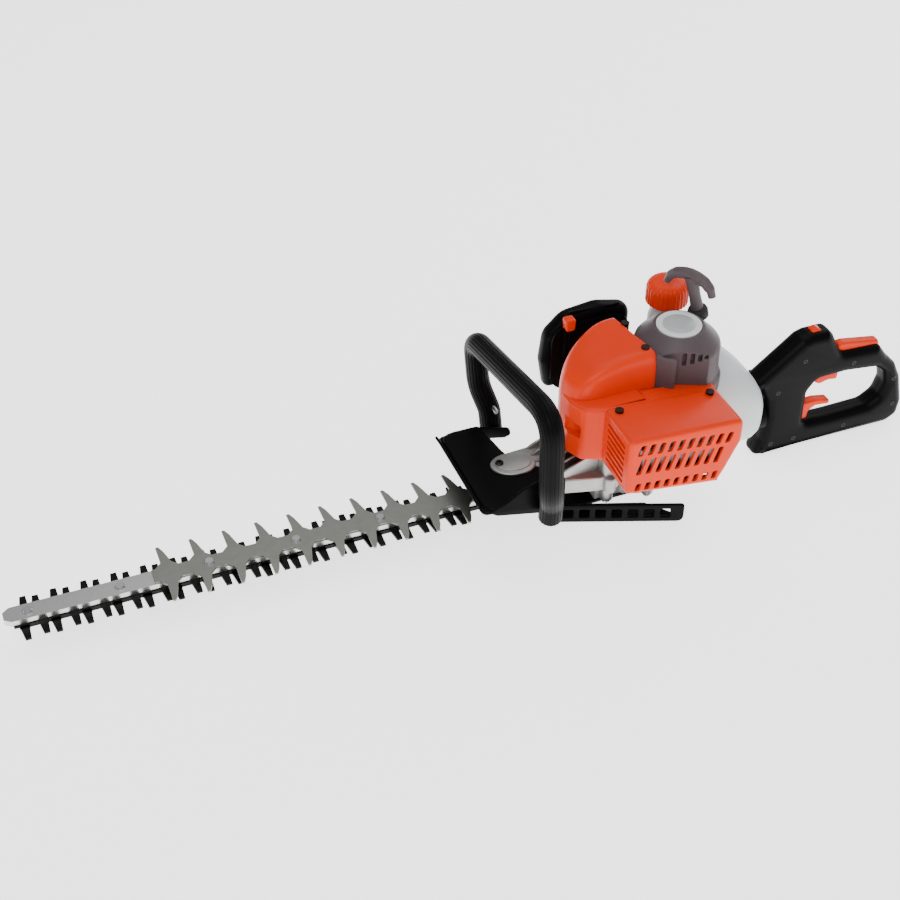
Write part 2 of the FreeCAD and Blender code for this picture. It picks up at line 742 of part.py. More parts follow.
keep("plug_cap", less("plug_cap", rod("plug_cap", cap_front, 0, crank_z, 9, barrel_front - 9 - cap_front,
    "x"), [
    rod("plug_cap_room", barrel_front - 24, 0, crank_z, 4, 20, "x")]))
coil_z = 128.5
keep("ignition_coil", block("ignition_coil", (166, 190), (45.5, 60), (coil_z, coil_z + 18)))
lead_radius = 2.5
keep("ht_lead", bent_tube("ht_lead", [
    V(166, 49, coil_z + 9), V(150, 48.5, coil_z + 9), V(134, 44, coil_z + 17.5), V(104, 26, coil_z + 17.5),
    V(93, 22, float(crank_z) + 3), V(86, 10.1, float(crank_z))], lead_radius, 0.3))

# --- exhaust side ------------------------------------------------------------------------
silencer = rounded("muffler", block("muffler", (118, 212), (-102, -56), (86, 142)), 6, along("z"))
silencer_room = block("muffler_room", (120, 210), (-100, -58), (88, 140))
keep("muffler", less("muffler", joined("muffler", [silencer, block("muffler_inlet", port_x, (-57, -40),
    port_z)]), [
    silencer_room, rod("muffler_passage", crank_x - 71, -60, crank_z, 6, 21, "y")]))


def side_profile(inset, floor_drop):
    """The muffler cover seen from the left: a sloping deck, and a rear and floor that taper in."""
    return [
        (muffler_front + inset, muffler_floor + 15 - floor_drop),
            (muffler_rear - 20, muffler_floor - floor_drop),
        (muffler_rear - 12 - inset, muffler_floor + 12), (muffler_rear - inset, muffler_floor + 50),
        (muffler_rear - inset, deck_rear_height - inset), (muffler_front + inset, deck_height - inset),
    ]


def muffler_form(label, inset, floor_drop):
    """The cover as a solid block, drawn in by inset, with its outer face rounded."""
    body = new_body(label)
    inner_side = muffler_inner + inset
    depth = muffler_side - muffler_inner - inset * 2
    pad(body, new_sketch(body, "XZ_Plane", [side_profile(inset, floor_drop)], inner_side), depth)
    outer_face = -float(muffler_side - inset)
    soften(body, 7 - inset,
        lambda e: abs(e.BoundBox.YMin - outer_face) < 0.01 and abs(e.BoundBox.YMax - outer_face) < 0.01)
    return body


def leaning_slot(low, high, station, width, lean_step):
    """A grille slot through the outer face whose foot leans towards the front."""
    body = new_body("grille_slot")
    shape = [(station, low), (station + width, low), (station + width + lean_step, high),
        (station + lean_step, high)]
    pad(body, new_sketch(body, "XZ_Plane", [shape], muffler_side - 4), 6)
    return body


deck_slope = float(deck_height - deck_rear_height) / float(muffler_rear - muffler_front)
grille_rows = [(91.5, 100.0, 9, 1.0), (104.0, 124.0, 10, 3.0), (129.0, 143.0, 9, 2.0)]
grille = []
for low, high, count, lean_step in grille_rows:
    for column in range(count):
        x = muffler_front + 14 + 10.6 * column
        fall = (10.6 * column + 14) * deck_slope * 1.4
        grille.append(leaning_slot(low - fall, high - fall, x, 4.6, lean_step))
for row in range(8):
    low = muffler_floor + 20 + 7.0 * row
    grille.append(block("louvre_slot", (muffler_front - 1, muffler_front + 4),
                        (-muffler_side + 12, -muffler_inner - 12), (low, low + 3.4)))
grille.append(block("cover_inner_window", (muffler_front + 12, muffler_rear - 22),
                    (-muffler_inner - 5, -muffler_inner + 2), (muffler_floor - 1, deck_rear_height - 12)))
grille.append(muffler_form("muffler_cover_room", sheet_wall, 8))


def deck_level(x):
    """Height of the sloping deck at a station."""
    return float(deck_height) - (float(x) - float(muffler_front)) * deck_slope


facet_distance = 36.0
facet_azimuth = 250.4
facet = V(math.cos(math.radians(facet_azimuth)), math.sin(math.radians(facet_azimuth)), 0)


def beyond_facet(distance, low, high, outward=True):
    """A block that starts at the starter's flat front face and runs away from it, or towards the axis."""
    thing = doc.addObject("Part::Box", unique("facet_block"))
    bind(thing, "Length", 60)
    bind(thing, "Width", 160)
    bind(thing, "Height", high - low)
    start = distance if outward else distance - 60
    corner = facet * start - V(-facet.y, facet.x, 0) * 80
    thing.Placement = FreeCAD.Placement(V(0, 0, 0), Rotation(V(0, 0, 1), facet_azimuth))
    bind(thing, "Placement.Base.x", crank_x + corner.x)
    bind(thing, "Placement.Base.y", corner.y)
    bind(thing, "Placement.Base.z", low)
    return thing


shelf_front = hood_rear + 0.5
shelf = new_body("deck_shelf")
shelf_profile = [(shelf_front, deck_level(shelf_front) - 2.5), (muffler_rear - 1, deck_rear_height - 2.5),
                 (muffler_rear - 1, deck_rear_height), (shelf_front, deck_level(shelf_front))]
pad(shelf, new_sketch(shelf, "XZ_Plane", [shelf_profile], 15), muffler_inner - 14)
deck_shelf = less("deck_shelf", shelf, [beyond_facet(facet_distance + 0.6, 140, 180, False)])
deck_screws = [(muffler_front + 12, -muffler_inner - 9), (muffler_rear - 14, -muffler_inner - 9)]
grille += [rod("deck_screw_hole", x, y, deck_level(x) - 7, screw_radius + seat, 9) for x, y in deck_screws]
keep("muffler_cover", less("muffler_cover", joined("muffler_cover_blank", [
    muffler_form("muffler_cover_form", 0, 0), deck_shelf]), grille))


def deck_screw(x, y):
    """A pan-head screw through the deck of the muffler cover."""
    head = rod("cover_screw", x, y, deck_level(x) + 0.3, 4.5, 2.4)
    return joined("cover_screw", [head, rod("cover_screw", x, y, deck_level(x) - 12, screw_radius, 13)])


keep("cover_screws", joined("cover_screws", [deck_screw(x, y) for x, y in deck_screws]))


# --- engine cover ------------------------------------------------------------------------
def hood_solid(inset, floor):
    """The engine cover's outer form, drawn in by inset, with its top sloping two ways."""
    body = new_body("engine_cover")
    left = muffler_inner - 0.5 - inset
    plan = [
        (hood_rear, -left), (muffler_front + 4, -left), (hood_front + 6 + inset, -36 + inset),
        (hood_front + inset, -20), (hood_front + inset, 2), (hood_front + 7 + inset, 18),
        (hood_front + 20 + inset, 34 - inset), (hood_front + 36, hood_far - 9 - inset),
        (hood_front + 56, hood_far - inset), (hood_rear, hood_far - inset),
    ]
    pad(body, new_sketch(body, "XY_Plane", [plan], floor), hood_peak - inset - floor)
    above = hood_peak + 20
    side_cut = [
        (hood_front - 5, deck_height - 17 - inset), (hood_front + 6, deck_height - 4 - inset),
        (hood_front + 24, deck_height + 20 - inset), (hood_front + 48, hood_peak - 8 - inset),
        (hood_rear + 5, hood_peak - inset), (hood_rear + 5, above), (hood_front - 5, above),
    ]
    pocket(body, new_sketch(body, "XZ_Plane", [side_cut]), 400, both=True)
    cross_cut = [
        (-muffler_inner - 5, deck_height - 3 - inset), (-30, deck_height - 1 - inset),
        (-4, hood_peak - 10 - inset), (24, hood_peak - inset), (42, hood_peak - inset - 5),
        (hood_far + 5, hood_peak - inset - 22),
        (hood_far + 5, above), (-muffler_inner - 5, above),
    ]
    pocket(body, new_sketch(body, "YZ_Plane", [cross_cut]), 800, both=True)
    return body


hood_tools = [
    hood_solid(sheet_wall, hood_floor - 2),
    block("hood_port_window", (port_x[0] - 4, port_x[1] + 4), (20, hood_far + 2),
        (port_z[0] - 4, port_z[1] + 4)),
    block("hood_port_window", (port_x[0] - 4, port_x[1] + 4), (-60, -20), (hood_floor - 2, port_z[1] + 4)),
    rod("hood_plug_door", hood_front - 5, 0, crank_z, 13, 12, "x"),
    block("hood_lead_window", (hood_rear - 6, hood_rear + 2), (30, hood_far + 2), (hood_floor, coil_z + 14)),
]
keep("engine_cover", less("engine_cover", hood_solid(0, hood_floor), hood_tools))

# --- starter -----------------------------------------------------------------------------
shoulder = 183.0
rim_radius = 27.0
bell_radius = 46.0
drum_top = 152.0
top_wall = 3.0
post_radius = 4.0
apron_top = 197.0


def bell(label, inset):
    """The starter's upper part: a round bell joined to a square apron, drawn in by inset."""
    apron = rounded(label + "_apron", block(
        label + "_apron", (hood_rear + 1.5 + inset, crank_x), (-24 + inset, 42 - inset),
        (drum_top - 3, apron_top - inset)), 8, along("z"))
    return joined(label, [
        rod(label, crank_x, 0, drum_top - 3, bell_radius - inset, shoulder - drum_top + 3),
        cone(label, crank_x, 0, shoulder, bell_radius - inset, rim_radius - inset,
            starter_top - inset - shoulder), apron])


bell_outside = less("starter_bell", bell("starter_bell", 0), [beyond_facet(facet_distance, drum_top,
    starter_top + 2)])
bell_inside = less("starter_bell_room", bell("starter_bell_room", top_wall),
                   [beyond_facet(facet_distance - 2.5, drum_top - 5, starter_top + 2)])
starter_shell = joined("starter_shell", [
    rod("starter_wall", crank_x, 0, starter_base, starter_radius, drum_top - starter_base), bell_outside])
starter_room = [
    rod("starter_room", crank_x, 0, starter_base - 1, starter_radius - sheet_wall,
        drum_top - 2 - starter_base + 1),
    bell_inside,
    block("starter_front_gap", (crank_x - 60, crank_x - 38), (-34, 60), (starter_base - 1, drum_top - 2)),
    block("starter_back_gap", (crank_x - 44, crank_x - 20), (44, 70), (starter_base - 1, drum_top - 2)),
]
for i in range(4):
    slot = doc.addObject("Part::Box", unique("starter_vent"))
    bind(slot, "Length", 8)
    bind(slot, "Width", 3.4)
    bind(slot, "Height", 17 - 2.6 * i)
    slot.Placement = FreeCAD.Placement(V(0, 0, 0), Rotation(V(0, 0, 1), facet_azimuth))
    spot = facet * (facet_distance - 4.5) - V(-facet.y, facet.x, 0) * (1.7 - 8.6 * (i + 0.6))
    bind(slot, "Placement.Base.x", crank_x + spot.x)
    bind(slot, "Placement.Base.y", spot.y)
    bind(slot, "Placement.Base.z", 171 + 2.0 * i)
    starter_room.append(slot)
grip_lean = 13.0
rope_x = crank_x + 40
rope_y = 27.0
rope_z = 180.0
rope_turn = Rotation(V(0, 1, 0), -grip_lean)
rope_tube = doc.addObject("Part::Cylinder", unique("rope_exit"))
bind(rope_tube, "Radius", 7)
bind(rope_tube, "Height", 25)
place(rope_tube, rope_x, rope_y, rope_z - 6, rope_turn)
rope_bore = doc.addObject("Part::Cylinder", unique("rope_bore"))
bind(rope_bore, "Radius", 3)
bind(rope_bore, "Height", 40)
place(rope_bore, rope_x + 2.6, rope_y, rope_z - 18, rope_turn)
apron_screws = [(hood_rear + 9.5, -14.0), (hood_rear + 9.5, 33.0)]
starter_room += [rod("apron_screw_hole", x, y, apron_top - 6, screw_radius + seat, 8) for x,
    y in apron_screws]
starter_cut = less("starter_body", joined("starter_with_exit", [starter_shell, rope_tube]),
    starter_room + [rope_bore])
starter_post = rod("starter_post", crank_x, 0, 178, post_radius, starter_top - 178 - 1)
keep("starter_housing", joined("starter_housing", [starter_cut, starter_post]))


def apron_screw(x, y):
    """A pan-head screw that holds the starter housing's apron."""
    head = rod("starter_screw", x, y, apron_top, 4.5, 2.4)
    return joined("starter_screw", [head, rod("starter_screw", x, y, apron_top - 16, screw_radius, 17)])


keep("starter_screws", joined("starter_screws", [apron_screw(x, y) for x, y in apron_screws]))
keep("starter_badge", rod("starter_badge", crank_x, 0, starter_top, 24, 2.2))
keep("recoil_spring", less("recoil_spring", rod("recoil_spring", crank_x, 0, 192, 21, 8),
                           [rod("recoil_spring", crank_x, 0, 191, 12, 10)]))
pulley = less("starter_pulley", rod("starter_pulley", crank_x, 0, 179, 26, 11.5), [
    less("pulley_groove", rod("pulley_groove", crank_x, 0, 182, 30, 5),
        [rod("pulley_groove", crank_x, 0, 181, 20, 7)]),
    rod("pulley_bore", crank_x, 0, 170, post_radius + fit_gap, 30)])
keep("starter_pulley", pulley)

# pull grip, built upright in its own place and then leaned
grip_parts = joined("starter_grip", [
    rod("grip_stem", 0, 0, 0, 7.5, 12),
    cone("grip_neck", 0, 0, 12, 7.5, 5.5, 12),
    rod("grip_neck", 0, 0, 24, 5.5, 23),
    bent_tube("grip_bar", [V(0, -29, 34), V(0, -15, 47.5), V(0, 15, 47.5), V(0, 29, 34)], 6.5, 0.45),
])
lift = 20.0
grip_parts.Placement = FreeCAD.Placement(V(0, 0, 0), Rotation(V(0, 1, 0), -grip_lean).multiply(
    Rotation(V(0, 0, 1), 30)))
bind(grip_parts, "Placement.Base.x", rope_x - lift * math.sin(math.radians(grip_lean)))
bind(grip_parts, "Placement.Base.y", rope_y)
bind(grip_parts, "Placement.Base.z", rope_z - 6 + (lift + 6) * math.cos(math.radians(grip_lean)))
keep("starter_grip", grip_parts)

# --- intake side -------------------------------------------------------------------------
keep("insulator", less("insulator", block("insulator", port_x, (40, 56.5), port_z),
                       [rod("insulator", crank_x - 71, 39, crank_z, 6, 19, "y")]))
carb_z = (crank_z - 14, crank_z + 16)
carb = joined("carburettor", [
    block("carburettor", (122, 158), (56.5, 80), carb_z), rod("carburettor_pump", 140, 62, carb_z[1] - 1, 5,
        5)])
keep("carburettor", less("carburettor", carb, [
    rod("carburettor_throat", crank_x - 71, 55, crank_z, 8, 30, "y"),
    rod("primer_room", 140, 68, carb_z[0] - 1, 8.5, 7.5)]))
primer = joined("primer_bulb", [rod("primer_bulb", 140, 68, carb_z[0] - 3, 8, 3.5), cone(
    "primer_bulb", 140, 68, carb_z[0] - 8, 4.5, 8, 5)])
keep("primer_bulb", primer)
air_x = (104.0, 197.0)
air_z = (90.0, 176.0)
air_side = 104.0
keep("filter_base", less("filter_base", rounded("filter_base", block("filter_base", air_x, (80, 83), air_z),
    22, along("y")), [
    rod("filter_base", crank_x - 71, 79, crank_z, 8, 6, "y"), rod("filter_base", 120, 79, 142, 3.2, 6, "y")]))
keep("filter_element", less("filter_element", block("filter_element", (124, 178), (83, 96), (100, 166)), [
    block("filter_element", (132, 166), (82, 90), (104, 126))]))
air_outer = rounded("air_filter_cover", block("air_filter_cover", air_x, (83, air_side), air_z), 22,
    along("y"))
air_inner = rounded("air_filter_room", block("air_filter_room", (air_x[0] + 4, air_x[1] - 4),
    (82, air_side - 3), (air_z[0] + 4, air_z[1] - 4)), 18, along("y"))
air_ribs = [block("air_rib", (air_x[0] + 24, air_x[1] - 24), (86.5 + 4.5 * i, 88.5 + 4.5 * i),
                  (air_z[1] - 1, air_z[1] + 2)) for i in range(4)]
keep("air_filter_cover", joined("air_filter_cover", [less("air_filter_shell", air_outer,
    [air_inner])] + air_ribs))
choke = joined("choke_lever", [
    rod("choke_pin", 120, 74, 142, 3.0, 8, "y"), block("choke_arm", (116.5, 123.5), (74, 77.5), (140, 186)),
    block("choke_tab", (115, 125), (70, 79), (178, 190))])
keep("choke_lever", choke)

# --- fuel tank ---------------------------------------------------------------------------
neck_x = 232.0
neck_y = 67.0
cap_base = 188.0
tank_dome = doc.addObject("Part::Sphere", unique("tank_dome"))
bind(tank_dome, "Radius", 110)
place(tank_dome, tank_rear - 110, 0, swivel_height + 12)
tank_block = rounded("tank_block", block(
    "tank_block", (tank_front, tank_rear + 5), (-52, 84), (40, 168)), 14, along("x"))
tank_core = doc.addObject("Part::MultiCommon", unique("tank_core"))
tank_core.Shapes = [tank_dome, tank_block]
tank_arm = rounded("tank_arm", block("tank_arm", (213, tank_front + 10), (52, 84), (104, 176)), 8, along("x"))
neck = rod("tank_neck", neck_x, neck_y, 175, 14.5, 22)
flange_pad = rod("tank_pad", tank_rear - 16, 0, swivel_height, 18, 16, "x")
tank_wall = 3.0
tank_void = doc.addObject("Part::Sphere", unique("tank_void"))
bind(tank_void, "Radius", 110 - tank_wall)
place(tank_void, tank_rear - 110, 0, swivel_height + 12)
room_block = rounded("tank_room_block", block(
    "tank_room_block", (tank_front + tank_wall, tank_rear - 18), (-49, 81), (43, 165)), 11, along("x"))
tank_room = doc.addObject("Part::MultiCommon", unique("tank_room"))
tank_room.Shapes = [tank_void, room_block]
tank_outside = joined("tank_outside", [tank_core, tank_arm, neck, flange_pad])
keep("fuel_tank", less("fuel_tank", tank_outside, [
    tank_room, block("tank_arm_room", (216, tank_front + 8), (55, 80.5), (107, 160)),
    rod("tank_filler", neck_x, neck_y, 158, 11.5, 41)]))
keep("fuel_line", rod("fuel_line", 158, 70, 108, 3, 55, "x"))
cap_blank = less("fuel_cap", rod("fuel_cap", neck_x, neck_y, cap_base, 23, 26),
                 [rod("fuel_cap", neck_x, neck_y, cap_base - 2, 14.5 + 0.4, 12)])
keep("fuel_cap", cap_blank)

# rubber mounts between the gear case's rear arms and the tank
keep("vibration_mounts", joined("vibration_mounts", [
    rod("vibration_mount", crank_x + 44, -30, 60, 7, tank_front - crank_x - 44, "x"),
    rod("vibration_mount", crank_x + 44, 30, 60, 7, tank_front - crank_x - 44, "x")]))
head_start = grip_front + bearing_wall + 1
keep("swivel_flange", joined("swivel_flange", [
    rod("swivel_flange", tank_rear, 0, swivel_height, 18, grip_front - tank_rear - 2.6, "x"),
    rod("swivel_spigot", tank_rear, 0, swivel_height, spigot_radius, head_start - tank_rear + 5, "x"),
    rod("swivel_head", head_start, 0, swivel_height, spigot_radius + 3.5, 5, "x")]))

# --- guard, front handle and skid --------------------------------------------------------
guard_shell = rounded("front_guard", block(
    "front_guard", (guard_front, guard_rear), (-guard_half, guard_half), (skirt_floor, guard_top)), 16,
        lambda e:
    along("x")(e) and e.BoundBox.ZMin > 70)
guard_room = rounded("guard_room", block(
    "guard_room", (guard_front - 1, guard_rear + 1), (-guard_half + guard_wall, guard_half - guard_wall),
    (skirt_floor - 1, guard_top - guard_wall)), 13, lambda e: along("x")(e) and e.BoundBox.ZMin > 70)
lip = new_body("guard_lip")
pad(lip, new_sketch(lip, "XZ_Plane", [[
    (guard_front, guard_top - 2), (guard_front + 3, guard_top - 3), (guard_front - 5, guard_top + 6),
    (guard_front - 7, guard_top + 6)]]), (guard_half - 8) * 2, both=True)
skirt_slope = new_body("guard_skirt_slope")
pad(skirt_slope, new_sketch(skirt_slope, "XZ_Plane", [[
    (guard_front - 8, skirt_floor - 10), (guard_rear + 8, skirt_floor - 10),
        (guard_rear + 8, skirt_floor - 6),
    (guard_front - 8, skirt_floor + 14)]]), 260, both=True)
boss_hole = [
    rod("guard_hole", boss_x - boss_half_x + boss_half_y, 0, 60, boss_half_y + 0.5, 30),
    rod("guard_hole", boss_x + boss_half_x - boss_half_y, 0, 60, boss_half_y + 0.5, 30),
    block("guard_hole", (boss_x - boss_half_x + boss_half_y, boss_x + boss_half_x - boss_half_y),
          (-boss_half_y - 0.5, boss_half_y + 0.5), (60, 90))]
handle_bolt_places = [(34.0, 92.0), (40.0, 70.0)]
guard_holes = [rod("guard_bolt_hole", x, -120, z, 2.7, 240, "y") for x, z in handle_bolt_places]
stays = [block("guard_stay", (14, 22), (-guard_half + 1, -nose_half), (64, guard_top - 2)),
         block("guard_stay", (14, 22), (nose_half, guard_half - 1), (64, guard_top - 2))]
lug_top = 103.0
stays += [block("guard_lug", (22, 52), (-guard_half, -guard_half + guard_wall), (guard_top - 20, lug_top)),
          block("guard_lug", (22, 52), (guard_half - guard_wall, guard_half), (guard_top - 20, lug_top))]
keep("front_guard", less("front_guard", joined("front_guard", [
    less("guard_hood", guard_shell, [guard_room]), lip] + stays),
        boss_hole + guard_holes[:1] + [skirt_slope]))

foot_x = 34.0
foot_y = guard_half + tube_radius
waist_z = 114.0
loop_x = 24.0
loop_tilt = 17.5


def loop_side(side):
    """One leg of the handle's centre line, from its foot up to the corner of the loop."""
    return [
        V(foot_x, side * float(foot_y), float(loop_foot)), V(foot_x - 2, side * float(foot_y), 88),
        V(loop_x, side * float(loop_half), waist_z),
        V(loop_x - 2, side * float(loop_half), float(loop_top) - side * loop_tilt)]


handle_tube = bent_tube("front_handle", loop_side(-1) + loop_side(1)[::-1], tube_radius, 0.3)
foot_cuts = [rod("handle_bolt_hole", x, -120, z, 2.7, 240, "y") for x, z in handle_bolt_places[:1]]
bolt_seat = guard_half + tube_radius * 2 + 1
foot_cuts += [rod("handle_bolt_seat", handle_bolt_places[0][0], y, handle_bolt_places[0][1], 5.4, 20, "y")
              for y in (-bolt_seat - 20, bolt_seat)]
side_cut = [block("handle_foot_face", (0, 80), (-guard_half, guard_half), (loop_foot - 20, lug_top + 1))]
keep("front_handle", less("front_handle", handle_tube, foot_cuts + side_cut))


def handle_bolt(side):
    """A screw through the handle's foot and the guard's skirt."""
    x, z = handle_bolt_places[0]
    reach = bolt_seat + 3
    if side < 0:
        head = rod("handle_bolt", x, -reach, z, 5, 3, "y")
        return joined("handle_bolt", [head, rod("handle_bolt", x, -reach, z, 2.5, 31, "y")])
    head = rod("handle_bolt", x, reach - 3, z, 5, 3, "y")
    return joined("handle_bolt", [head, rod("handle_bolt", x, reach - 31, z, 2.5, 31, "y")])


keep("handle_bolts", joined("handle_bolts", [handle_bolt(-1), handle_bolt(1)]))

skid_thick = 6.0
skid_front = 66.0
skid_rear = 197.0
fence_thick = 5.0
fence_height = 24.0
arm_inner = 4.0
arm_outer = 30.0
arm_inner_end = 48.0
arm_outer_end = 79.0
window_count = 7
window_step = 16.6
arm_slope = (arm_outer_end - arm_outer) / (skid_rear - skid_front)
skid_parts = [block("skid_tie", (skid_front, gear_x - 4), (-17, 17), (0, skid_thick))]
skid_holes = []
for side in (-1, 1):
    fence = [(skid_front, side * arm_outer), (skid_rear, side * arm_outer_end),
             (skid_rear - 2, side * (arm_outer_end - fence_thick)),
                 (skid_front, side * (arm_outer - fence_thick))]
    arm = [(skid_front, side * arm_inner), (skid_rear - 30, side * (arm_inner_end - 8)),
           (skid_rear - 2, side * (arm_outer_end - fence_thick)), (skid_front, side * (arm_outer - 2))]
    skid_parts.append(slab("skid_fence", [fence], 0, fence_height))
    skid_parts.append(slab("skid_arm", [arm], 0, skid_thick))
    for i in range(window_count):
        x = skid_front + 9 + window_step * i
        middle = arm_outer + (x + 5 - skid_front) * arm_slope
        edges = sorted((side * (middle - 12), side * (middle + 8)))
        skid_holes.append(block("skid_window", (x, x + 10), edges, (skid_thick - 1, fence_height - 6)))
for x, y in skid_posts:
    skid_parts.append(rod("skid_post", x, y, 0, 6.5, cover_base))
    skid_holes.append(rod("skid_screw_hole", x, y, -1, screw_radius + seat, cover_base + 2))
    skid_holes.append(rod("skid_screw_seat", x, y, -1, 4.7, 6))
keep("skid_plate", less("skid_plate", joined("skid_plate", skid_parts), skid_holes))


def skid_screw(x, y):
    """A screw from below through the skid's post into the gear case cover."""
    head = rod("skid_screw", x, y, 1.5, 4.5, 3.5)
    return joined("skid_screw", [head, rod("skid_screw", x, y, 3, screw_radius, cover_base + 2)])


keep("skid_screws", joined("skid_screws", [skid_screw(x, y) for x, y in skid_posts]))


# --- rear handle -------------------------------------------------------------------------
def handle_outline(inset):
    """The D-shaped outer edge of the rear handle, seen from the side."""
    d = inset
    return [
        (grip_front - 10 + d, grip_floor + d), (hole_rear + 11, grip_floor + d),
            (handle_reach - 4 - d, grip_floor + 8),
        (handle_reach - d, grip_floor + 24), (handle_reach - 6 - d, grip_floor + 60),
        (handle_reach - 17 - d, grip_floor + 81), (hole_rear - 4, hole_roof - d),
            (hole_rear - 15, hole_roof + 9 - d),
        (hole_front + 34, grip_top - d), (hole_front + 21 - d, grip_top + 28),
            (hole_front + 15 - d, grip_top + 34 - d),
        (hole_front - 7, grip_top + 34 - d), (hole_front - 16, grip_top + 30 - d),
            (grip_front - 17 + d, grip_top - 15),
        (grip_front - 16 + d, grip_top - 22), (grip_front - 9 + d, grip_top - 27),
            (grip_front - 2 + d, grip_top - 43),
        (grip_front + d, grip_top - 64), (grip_front - 2 + d, grip_top - 99),
    ]


def hole_outline(outset):
    """The finger hole of the D, whose roof falls towards the rear."""
    d = outset
    return [
        (hole_front + 8, hole_floor - d), (hole_rear - 18, hole_floor - d),
            (hole_rear - 6 + d, hole_floor + 8),
        (hole_rear + d, hole_floor + 28), (hole_rear - 5 + d, hole_roof - 20),
            (hole_rear - 16, hole_roof - 15 + d),
        (hole_front + 34, hole_roof - 1 + d), (hole_front + 12, hole_roof + d),
            (hole_front + 2 - d, hole_roof - 12),
        (hole_front - d, hole_floor + 28), (hole_front - d, hole_floor + 8),
    ]


def handle_shell(label, side):
    """One half of the rear handle: a hollow moulding split down the middle."""
    body = new_body(label)
    far = side < 0
    pad(body, new_sketch(body, "XZ_Plane", [handle_outline(0), hole_outline(0)]), grip_half, back=not far)
    outer_face = -float(grip_half) if far else float(grip_half)
    soften(body, 3, lambda e: abs(e.BoundBox.YMin - outer_face) < 0.01 and abs(e.BoundBox.YMax - outer_face) < 0.01)
    inner = handle_outline(grip_wall)
    inner = inner[:13] + [(grip_front + bearing_wall, grip_top - 2)]
    inner[0] = (grip_front + bearing_wall, grip_floor + grip_wall)
    pocket(body, new_sketch(body, "XZ_Plane", [inner, hole_outline(grip_wall)]), grip_half - grip_wall,
        back=far)
    return body


trigger_x = (394.0, 424.0)
lock_x = (416.0, 470.0)
handle_cuts = [
    ("swivel", lambda: rod("swivel_bore", grip_front - 1, 0, swivel_height, spigot_radius + fit_gap,
        bearing_wall + 3, "x")),
    ("trigger", lambda: block("trigger_slot", (trigger_x[0] - 6, trigger_x[1] + 6), (-7, 7),
        (hole_roof - 6, hole_roof + 6))),
    ("lockout", lambda: block("lockout_slot", (lock_x[0] - 2, lock_x[1] + 3), (-7, 7),
        (grip_top - 19, grip_top + 6))),
    ("switch", lambda: block("switch_slot", (375, 397), (-5.5, 5.5), (grip_top + 26, grip_top + 50))),
    ("release", lambda: block("release_slot", (hole_front - 14, hole_front + 12), (-7, 7), (31, 64))),
]
pin_places = [(398.0, 103.0), (464.0, 97.0)]
handle_screw_places = [
    (grip_front + 9, grip_floor + 14), (grip_front + 8, grip_top - 30), (hole_front - 12, grip_floor + 15),
    (hole_front - 14, grip_top + 4), (hole_front + 55, grip_floor + 15), (hole_rear + 14, grip_floor + 30),
    (hole_rear + 3, grip_floor + 80), (hole_front + 52, grip_top - 19)]
handle_screw_radius = 1.75
boss_radius = 4.0
for label, side in (("handle_left_shell", -1), ("handle_right_shell", 1)):
    tools = [maker() for _, maker in handle_cuts]
    low = -grip_half + 1 if side < 0 else 0
    pillars = [rod("handle_boss", x, low, z, boss_radius, grip_half - 1, "y") for x, z in handle_screw_places]
    if side < 0:
        tools += [rod("handle_screw_hole", x, -grip_half - 1, z, handle_screw_radius + seat, grip_half + 2,
            "y")
                  for x, z in handle_screw_places]
        tools += [rod("handle_screw_seat", x, -grip_half - 1, z, 3.6, 3.5, "y") for x,
            z in handle_screw_places]
    else:
        tools += [rod("handle_thread", x, -1, z, handle_screw_radius, 14, "y") for x,
            z in handle_screw_places]
    keep(label, less(label, joined(label, [handle_shell(label, side)] + pillars), tools))


def handle_screw(x, z):
    """A screw from the left that draws the two halves of the handle together."""
    head = rod("handle_screw", x, -grip_half + 0.3, z, 3.4, 2.2, "y")
    return joined("handle_screw", [head, rod("handle_screw", x, -grip_half + 2, z, handle_screw_radius, 25,
        "y")])


keep("handle_screws", joined("handle_screws", [handle_screw(x, z) for x, z in handle_screw_places]))

throttle = joined("throttle_trigger", [
    block("trigger_blade", trigger_x, (-6, 6), (80, 104)), rod("trigger_hub", pin_places[0][0], -6,
        pin_places[0][1], 6, 12, "y")])
keep("throttle_trigger", less("throttle_trigger", throttle, [
    rod("trigger_bore", pin_places[0][0], -10, pin_places[0][1], 1.5 + fit_gap, 20, "y")]))
lever_form = new_body("lockout_blade")
pad(lever_form, new_sketch(lever_form, "XZ_Plane", [[
    (lock_x[0], grip_top + 0.5), (lock_x[0], grip_top + 7), (lock_x[1], grip_top - 2),
    (lock_x[1] + 2, grip_top - 8), (lock_x[1] - 2, grip_top - 14.5)]]), 12, both=True)
lockout = joined("lockout_lever", [
    lever_form, rod("lockout_hub", pin_places[1][0], -6, pin_places[1][1], 4.5, 12, "y"),
    block("lockout_leg", (pin_places[1][0] - 4.5, pin_places[1][0] + 4), (-6, 6),
        (pin_places[1][1], grip_top - 10))])
keep("lockout_lever", less("lockout_lever", lockout, [
    rod("lockout_bore", pin_places[1][0], -10, pin_places[1][1], 1.5 + fit_gap, 20, "y")]))
inner_width = (grip_half - grip_wall) * 2
keep("pivot_pins", joined("pivot_pins", [
    rod("pivot_pin", x, -grip_half + grip_wall, z, 1.5, inner_width, "y") for x, z in pin_places]))
keep("ignition_switch", block("ignition_switch", (378, 390), (-5, 5), (grip_top + 26, grip_top + 38)))
keep("swivel_lock", joined("swivel_lock", [
    block("swivel_lock_arm", (hole_front - 6, hole_front + 36), (-6, 6), (47, 57)),
    block("swivel_lock_leg", (hole_front - 6, hole_front + 9), (-6, 6), (35, 57)),
    rod("swivel_lock_pin", head_start + 13, 0, swivel_height - 2, 3, hole_front - head_start - 17, "x")]))

